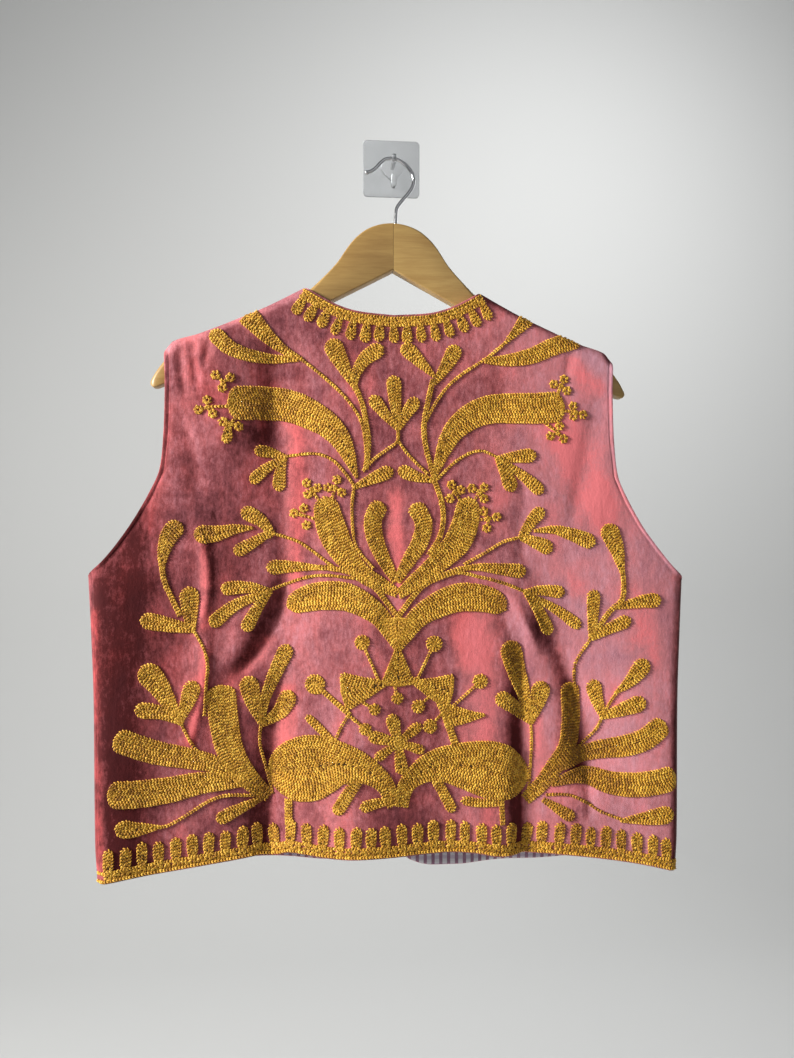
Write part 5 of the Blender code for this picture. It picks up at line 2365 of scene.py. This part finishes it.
    def beans(self) -> Drawing:
        """The two great beans that lean together above the hem.

        Returns:
            The drawing.
        """
        plan = Drawing(Face.BACK, 18)
        plan.leaf(((-115.5, -577), (-100, -574), (-82, -571), (-64, -567), (-45, -566), (-25, -572.5),
                   (-9, -585), (-1.5, -604)), 28.0, 5.4,
                  table=((0, 0), (0.03, 13), (0.09, 22), (0.17, 28), (0.3, 30), (0.42, 25.5), (0.53, 18.5),
                         (0.64, 14), (0.76, 10), (0.88, 7.8), (1, 5.6)))
        plan.leaf(((127, -581), (108, -579), (88, -573), (64, -569), (40, -568.5), (22, -576), (10, -588),
                   (7, -605)), 26.0, 5.4,
                  table=((0, 0), (0.03, 12), (0.09, 20), (0.18, 25.5), (0.3, 26), (0.45, 21.5), (0.58, 16.5),
                         (0.68, 13), (0.79, 9.5), (0.9, 7.2), (1, 5.6)))
        plan.leaf(((-54, -611), (-44.5, -596), (-34, -580)), 5.8, 5.4)
        plan.leaf(((54.5, -612), (47.5, -598), (39, -583)), 4.8, 4.4)
        plan.leaf(((-31, -606), (-17, -602), (-3, -600)), 5.2, 3.0)
        plan.leaf(((63, -601.5), (79.5, -604), (100, -604)), 4.2, 3.2)
        plan.stem(((-97, -622), (-97, -612), (-97, -600)), 3)
        plan.stem(((101, -624), (100.5, -612), (100, -600)), 2)
        return plan

    def build(self, stitcher: ChainStitcher) -> list[Item]:
        """Make every drawing on the back.

        Args:
            stitcher: Makes stitches out of rows.

        Returns:
            The pieces: each drawing's stitches and one piece with all of the pads.
        """
        pieces = []
        ground = Drawing(Face.BACK, 19)
        for maker in (self.neck_border, self.hem_border, self.shoulder_scrolls, self.sprigs,
                      self.waist_scrolls, self.side_fans, self.centre_sun, self.beans):
            drawing = maker()
            pieces.append(stitcher.stitch(drawing, f"stitches_{maker.__name__}"))
            ground.pads += drawing.pads
        pieces.append(lay_pads(ground, "stitch_underlay_shade_back"))
        return pieces


@dataclass
class FrontEmbroidery:
    """The hem's and the neckline's borders, carried on round a front."""

    front: FrontPanel
    petal_pitch: float = 14.7
    petal_half: float = 4.5
    hem_rows: tuple[float, float] = (2.4, 9.6)
    hem_petals: int = 17
    edge_rows: tuple[float, float] = (3.2, 9.8)
    edge_petals: int = 12
    edge_heights: tuple[float, ...] = (-136, -160, -190, -215, -240, -262, -282, -298)

    def borders(self) -> Drawing:
        """Petals and loops along the hem and down the neck edge.

        Returns:
            The drawing.
        """
        front = self.front
        plan = Drawing(front.face, 21 if front.side == "left" else 22)
        xs = [lerp(18.0, 264.0, k / 60) for k in range(61)]
        for inside in self.hem_rows:
            plan.row([(x, front.hem_z(x) + inside) for x in xs], False)
        for number in range(self.hem_petals):
            x = lerp(24.0, 257.0, number / (self.hem_petals - 1))
            z = front.hem_z(x)
            plan.leaf(((x, z + 28.5), (x, z + 19), (x, z + 9.5)), self.petal_half, 3.0,
                      LeafShape.PETAL)
            for part in (0.0, 0.5):
                at = min(x + self.petal_pitch * part, 262.0)
                plan.loops([(at, front.hem_z(at) + 5.8)], 3.7)
        edge = curve_through([(along(FORM.front_edge, z), z) for z in self.edge_heights], 6)
        edge = evenly(edge, 1.0)
        for inside in self.edge_rows:
            plan.row(Drawing.beside(edge, [inside] * len(edge)), False)
        for number in range(self.edge_petals):
            index = round(lerp(4, len(edge) - 5, number / (self.edge_petals - 1)))
            route = [Drawing.below(edge, index, -d) for d in (27.0, 18.0, 9.5)]
            plan.leaf(route, self.petal_half, 2.6, LeafShape.PETAL)
            plan.loops([Drawing.below(edge, index, -6.4)], 3.6)
        return plan

    def build(self, stitcher: ChainStitcher) -> list[Item]:
        """Make the front's stitches and pads.

        Args:
            stitcher: The stitcher that lays them.

        Returns:
            The pieces.
        """
        drawing = self.borders()
        side = self.front.side
        return [stitcher.stitch(drawing, f"stitches_front_{side}"),
                lay_pads(drawing, f"stitch_underlay_shade_front_{side}")]


# ---- hanger

@dataclass
class HangerArm:
    """One arm of the wooden hanger, a loft of rounded sections from the mitre to the tip."""

    side: str
    finish: Finish
    half_thick: float = 6.5
    gap: float = 0.3
    join: float = 0.004 * MM
    thin_round: float = 2.6
    full_round: float = 7.0
    low_round: float = 1.2
    round_from: float = 62.0
    round_over: float = 20.0
    sections: tuple[tuple[float, float, float, float], ...] = (
        (0, -61.5, -106.0, 1.0), (8, -62.2, -110.2, 1.0), (17, -64.5, -115.0, 1.0),
        (25, -68.2, -119.3, 1.0), (31.5, -73.0, -122.7, 1.0), (37, -78.3, -125.6, 1.0),
        (42, -84.5, -128.3, 1.0), (47, -92.0, -130.9, 1.0), (52, -99.5, -133.6, 1.0),
        (59, -107.8, -137.3, 1.0), (66, -115.0, -141.0, 1.0), (73, -121.4, -144.7, 1.0),
        (79, -126.2, -147.9, 1.0), (86, -129.2, -151.6, 1.0), (100, -136.9, -159.0, 1.0),
        (117, -145.4, -168.0, 1.0), (143, -157.9, -181.8, 1.0), (165, -167.2, -193.5, 1.0),
        (181, -174.0, -201.9, 1.0), (194, -180.2, -208.8, 1.0), (205, -188.5, -214.7, 1.0),
        (212, -196.0, -218.4, 1.0), (218, -203.8, -221.2, 0.96), (222, -210.2, -221.4, 0.84),
        (224.6, -215.0, -219.0, 0.45))

    def ring(self, x: float, top: float, foot: float, share: float) -> list[Place3]:
        """Places round the arm at one section.

        Args:
            x: The section's distance from the middle.
            top: Height of its upper edge.
            foot: Height of its lower edge.
            share: Its thickness, as a share of the arm's.

        Returns:
            The places, from the lower end of its upper rounding, at the wall's side.
        """
        half = self.half_thick * share
        grown = smooth((x - self.round_from) / self.round_over)
        top_round = min(lerp(self.thin_round, self.full_round, grown), (top - foot) * 0.6)
        side_round = min(half, lerp(self.thin_round, half, grown))
        foot_round = min(self.low_round, (top - foot) * 0.3, half)
        places = []
        for sign, quarter in ((1.0, range(0, 7)), (-1.0, range(6, -1, -1))):
            for k in quarter:
                angle = math.pi / 2 * k / 6
                y = half - side_round * (1.0 - math.cos(angle))
                places.append((x, FORM.hang_y + sign * y,
                               top - top_round * (1.0 - math.sin(angle))))
        for sign, quarter in ((-1.0, range(0, 4)), (1.0, range(3, -1, -1))):
            for k in quarter:
                angle = math.pi / 2 * k / 3
                y = half - foot_round * (1.0 - math.cos(angle))
                places.append((x, FORM.hang_y + sign * y,
                               foot + foot_round * (1.0 - math.sin(angle))))
        return places

    def build(self) -> Item:
        """Loft the arm and close its two ends.

        Returns:
            The filed piece.
        """
        name = f"hanger_wood_{self.side}"
        sign = -1.0 if self.side == "left" else 1.0
        rings = [self.ring(max(x, self.gap / 2), top, foot, share)
                 for x, top, foot, share in curve_through(self.sections, 3)]
        points = [FORM.hung(sign * x, y, z) for ring in rings for x, y, z in ring]
        wide = len(rings[0])
        faces: list[tuple[int, ...]] = []
        for start in range(0, len(points) - wide, wide):
            for k in range(wide):
                a, b = start + k, start + (k + 1) % wide
                faces.append((a, b, b + wide, a + wide))
        faces += [tuple(range(wide)), tuple(range(len(points) - wide, len(points)))]
        mesh = cleaned(mesh_from(name, points, faces, ()), self.join)
        return file_piece(name, finished(mesh, self.finish, 48.0),
                          (f"hanger_arm_{self.side}",))


def drawn_curve(name: str, points: Sequence[Sequence[float]],
                **settings: Any) -> bpy.types.Curve:
    """A curve of straight pieces.

    Args:
        name: Its name.
        points: Its points, in millimetres.
        **settings: Values of its own properties.

    Returns:
        The curve.
    """
    curve = bpy.data.curves.new(name, "CURVE")
    for key, value in settings.items():
        setattr(curve, key, value)
    spline = curve.splines.new("POLY")
    spline.points.add(len(points) - 1)
    for point, place in zip(spline.points, points):
        point.co = (*(value * MM for value in place), 1.0)
    return curve


def swept(name: str, route: Sequence[Sequence[float]], radius: float, finish: Finish,
          sides: int) -> Mesh:
    """A round wire along a route, capped, as a welded mesh.

    Args:
        name: The mesh's name.
        route: Points in millimetres.
        radius: The wire's radius in millimetres.
        finish: Its finish.
        sides: Its bevel resolution: it has four faces round it, and two more for each step.

    Returns:
        The mesh.
    """
    curve = drawn_curve(name, route, dimensions="3D", bevel_depth=radius * MM,
                        bevel_resolution=sides, use_fill_caps=True)
    return finished(cleaned(freed(linked(name, curve), name), WELD), finish)


@dataclass
class WireHook:
    """The hanger's wire hook with the small ball at its free end."""

    wire: float = 3.4
    ball: float = 2.1
    route: tuple[Place, ...] = (
        (2.4, -61.0), (2.8, -54), (3.4, -47), (5.4, -42.6), (9.7, -37.2), (15.2, -30.6),
        (18.8, -24.6), (19.9, -18.6), (18.2, -11.6), (13.2, -4.9), (6.8, -0.4), (-1.2, 1.5),
        (-7.5, 0.3), (-12.0, -3.4), (-15.6, -7.4), (-19.9, -10.9), (-24.7, -12.6))

    def build(self) -> Item:
        """Sweep the wire and weld the ball on.

        Returns:
            The filed piece.
        """
        route = [(x, FORM.hang_y, z) for x, z in curve_through(self.route, 6)]
        mesh = swept("hook_wire", route, self.wire / 2, CHROME, 5)
        x, z = self.route[-1]
        bm = bmesh.new()
        bm.from_mesh(mesh)
        made = bmesh.ops.create_uvsphere(bm, u_segments=20, v_segments=12, radius=self.ball * MM)
        for vertex in made["verts"]:
            vertex.co += Vector((x * MM, FORM.hang_y * MM, z * MM))
        for face in bm.faces:
            face.smooth = True
        bm.to_mesh(mesh)
        bm.free()
        return file_piece("hook_wire", mesh, ("hanger_hook",))


@dataclass
class WallHook:
    """The clear wall hook: square plate, shield boss, lower prong and J finger, in one piece."""

    plate: float = 55.0
    thick: float = 1.2
    corner: float = 4.0
    boss_at: Place = (0.8, 0.5)
    boss_radius: float = 11.0
    boss_front: float = 4.0
    boss_foot: Place = (-1.6, 3.4)
    boss_foot_z: float = -11.5
    prong_off: float = 1.3
    prong_top: float = -9.0
    prong_low: float = -16.6
    prong_half: float = 2.6
    prong_front: float = 7.0
    finger_radius: float = 2.2
    finger_route: tuple[Place, ...] = ((-2.6, 0.4), (-9, -1.6), (-15, -2.7), (-20, -2.8),
                                       (-23.6, -1.4), (-25.4, 0.8), (-25.7, 2.8))

    @staticmethod
    def arc(cx: float, cz: float, radius: float, first: float, last: float,
            steps: int) -> list[Place]:
        """Points on a circle from one angle to another, in degrees."""
        angles = [math.radians(lerp(first, last, k / steps)) for k in range(steps + 1)]
        return [(cx + radius * math.cos(a), cz + radius * math.sin(a)) for a in angles]

    @staticmethod
    def block(name: str, outline: Sequence[Place], back: float, front: float,
              soften: float) -> Item:
        """An outline made solid between two depths, with its front edge softened.

        Args:
            name: The block's name.
            outline: Its outline, in millimetres.
            back: Distance of its back from the wall.
            front: Distance of its front from the wall.
            soften: Radius of its edges.

        Returns:
            The block.
        """
        curve = drawn_curve(
            name, [(x, z, 0.0) for x, z in outline], dimensions="2D", fill_mode="BOTH",
            extrude=(front - back) / 2 * MM - soften * MM, bevel_depth=soften * MM,
            bevel_resolution=2, offset=-soften * MM)
        curve.splines[0].use_cyclic_u = True
        helper = linked(name, curve)
        helper.rotation_euler = (math.pi / 2, 0.0, 0.0)
        helper.location = (0.0, -(front + back) / 2 * MM, 0.0)
        return linked(name, cleaned(freed(helper, name), WELD))

    def build(self) -> Item:
        """Unite the hook's solids into one clear piece.

        Returns:
            The filed piece.
        """
        inset = self.plate / 2 - self.corner
        square: list[Place] = []
        for cx, cz, first in ((inset, inset, 0), (-inset, inset, 90), (-inset, -inset, 180),
                              (inset, -inset, 270)):
            square += self.arc(cx, cz, self.corner, first, first + 90, 8)
        base = self.block("plate", square, 0.0, self.thick, 0.25)
        bx, bz = self.boss_at
        shield = self.arc(bx, bz, self.boss_radius, -25, 205, 26)
        shield += [(bx + x, self.boss_foot_z) for x in self.boss_foot]
        capsule: list[Place] = []
        for height, first in ((self.prong_top, 0), (self.prong_low, 180)):
            capsule += self.arc(bx + self.prong_off, height, self.prong_half, first,
                                first + 180, 12)
        joined = [self.block("shield", shield, 0.6, self.boss_front, 0.7),
                  self.block("prong", capsule, 0.7, self.prong_front, 1.1)]
        route = [(bx, y, z) for y, z in curve_through(self.finger_route, 6)]
        joined.append(linked("finger", swept("finger", route, self.finger_radius, CLEAR, 6)))
        for other in joined:
            union = base.modifiers.new(other.name, "BOOLEAN")
            union.operation = "UNION"
            union.solver = "EXACT"
            union.object = other
        mesh = freed(base, "wall_hook_clear")
        for other in joined:
            bpy.data.objects.remove(other, do_unlink=True)
        return file_piece("wall_hook_clear", finished(mesh, CLEAR, 38.0),
                          ("wall_hook",))


# ---- studio

@dataclass
class Studio:
    """Floor with a curved backdrop, soft lights and the camera."""

    floor_z: float = -1.9
    back_y: float = 3.3
    front_y: float = -4.5
    half_wide: float = 6.0
    curve_radius: float = 1.2
    height: float = 5.0
    sensor: float = 36.0
    focal_share: float = 796.0 / 1058.0
    eye: Place3 = (-0.05517, -0.77374, -0.35018)
    yaw: float = 4.4875

    def build(self) -> None:
        """Make the stage, the lights and the camera."""
        self.cove()
        self.light("key", (-2.7, -0.80, 0.55), (0.0, -0.02, -0.42), 178.0, 0.7, (1.0, 0.985, 0.955))
        self.light("fill", (0.6, -2.6, 0.5), (0.0, 0.0, -0.4), 5.0, 1.8, (0.96, 0.975, 1.0))
        self.light("back", (1.2, 1.2, 1.7), (0.9, 3.3, 0.2), 44.0, 1.8, (0.99, 0.995, 1.0))
        self.light("rear", (1.2, 1.9, 0.4), (0.0, 0.0, -0.4), 14.0, 1.2, (0.98, 0.99, 1.0))
        bpy.context.scene.view_settings.view_transform = "Standard"
        world = bpy.data.worlds.new("studio")
        world.use_nodes = True
        ground = world.node_tree.nodes["Background"]
        ground.inputs["Color"].default_value = (0.80, 0.82, 0.84, 1.0)
        ground.inputs["Strength"].default_value = 0.2
        bpy.context.scene.world = world
        self.camera()

    def cove(self) -> None:
        """A floor that curves up into a backdrop."""
        profile = [(self.front_y, self.floor_z), (self.back_y - self.curve_radius, self.floor_z)]
        for k in range(1, 13):
            angle = math.pi / 2 * k / 12
            profile.append((self.back_y - self.curve_radius * (1.0 - math.sin(angle)),
                            self.floor_z + self.curve_radius * (1.0 - math.cos(angle))))
        profile.append((self.back_y, self.floor_z + self.height))
        points, faces = [], []
        for y, z in profile:
            points += [Vector((-self.half_wide, y, z)), Vector((self.half_wide, y, z))]
        for k in range(len(profile) - 1):
            faces.append((2 * k, 2 * k + 1, 2 * k + 3, 2 * k + 2))
        item = linked("studio_cove", mesh_from("studio_cove", points, faces, (STUDIO,)))
        item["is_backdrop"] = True

    @staticmethod
    def light(name: str, place: Place3, aim: Place3, power: float, size: float,
              colour: Colour) -> None:
        """One soft area light.

        Args:
            name: Its name.
            place: Where it stands, in metres.
            aim: The place that it points at.
            power: Its power in watts.
            size: Its width in metres.
            colour: Its colour.
        """
        data = bpy.data.lights.new(name, "AREA")
        data.shape = "DISK"
        data.energy = power
        data.size = size
        data.color = colour
        item = linked(name, data)
        item.location = place
        item.rotation_euler = (Vector(aim) - Vector(place)).to_track_quat("-Z", "Y").to_euler()

    def camera(self) -> None:
        """The camera in front of the wall, level, turned slightly to the right."""
        data = bpy.data.cameras.new("camera")
        data.sensor_fit = "VERTICAL"
        data.sensor_height = self.sensor
        data.lens = self.sensor * self.focal_share
        item = linked("camera", data)
        item.location = self.eye
        item.rotation_euler = (math.pi / 2, 0.0, -math.radians(self.yaw))
        bpy.context.scene.camera = item


# ---- all of it

def plain(box: Any) -> list[list[float]]:
    """A box's corners as plain lists of numbers."""
    return [[float(value) for value in corner] for corner in box]


def main() -> None:
    """Build every piece and dress it; the sizes go into a string that nothing keeps."""
    logging.basicConfig(level=logging.INFO, format="%(name)s: %(message)s")
    Studio().build()
    stitcher = ChainStitcher()
    back = BackPanel().build()
    on_back = BackEmbroidery().build(stitcher)
    for side in ("left", "right"):
        front = FrontPanel(side=side)
        piece = front.build()
        on_front = FrontEmbroidery(front).build(stitcher)
    lining = FrontPanel(side="right").build_lining()
    HangerArm("left", WOOD_LEFT).build()
    HangerArm("right", WOOD_RIGHT).build()
    WireHook().build()
    WallHook().build()
    f'{{"cad": {plain(CAD_BOX)}, "visual": {plain(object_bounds())}}}\n'


if __name__ == "__main__":
    main()
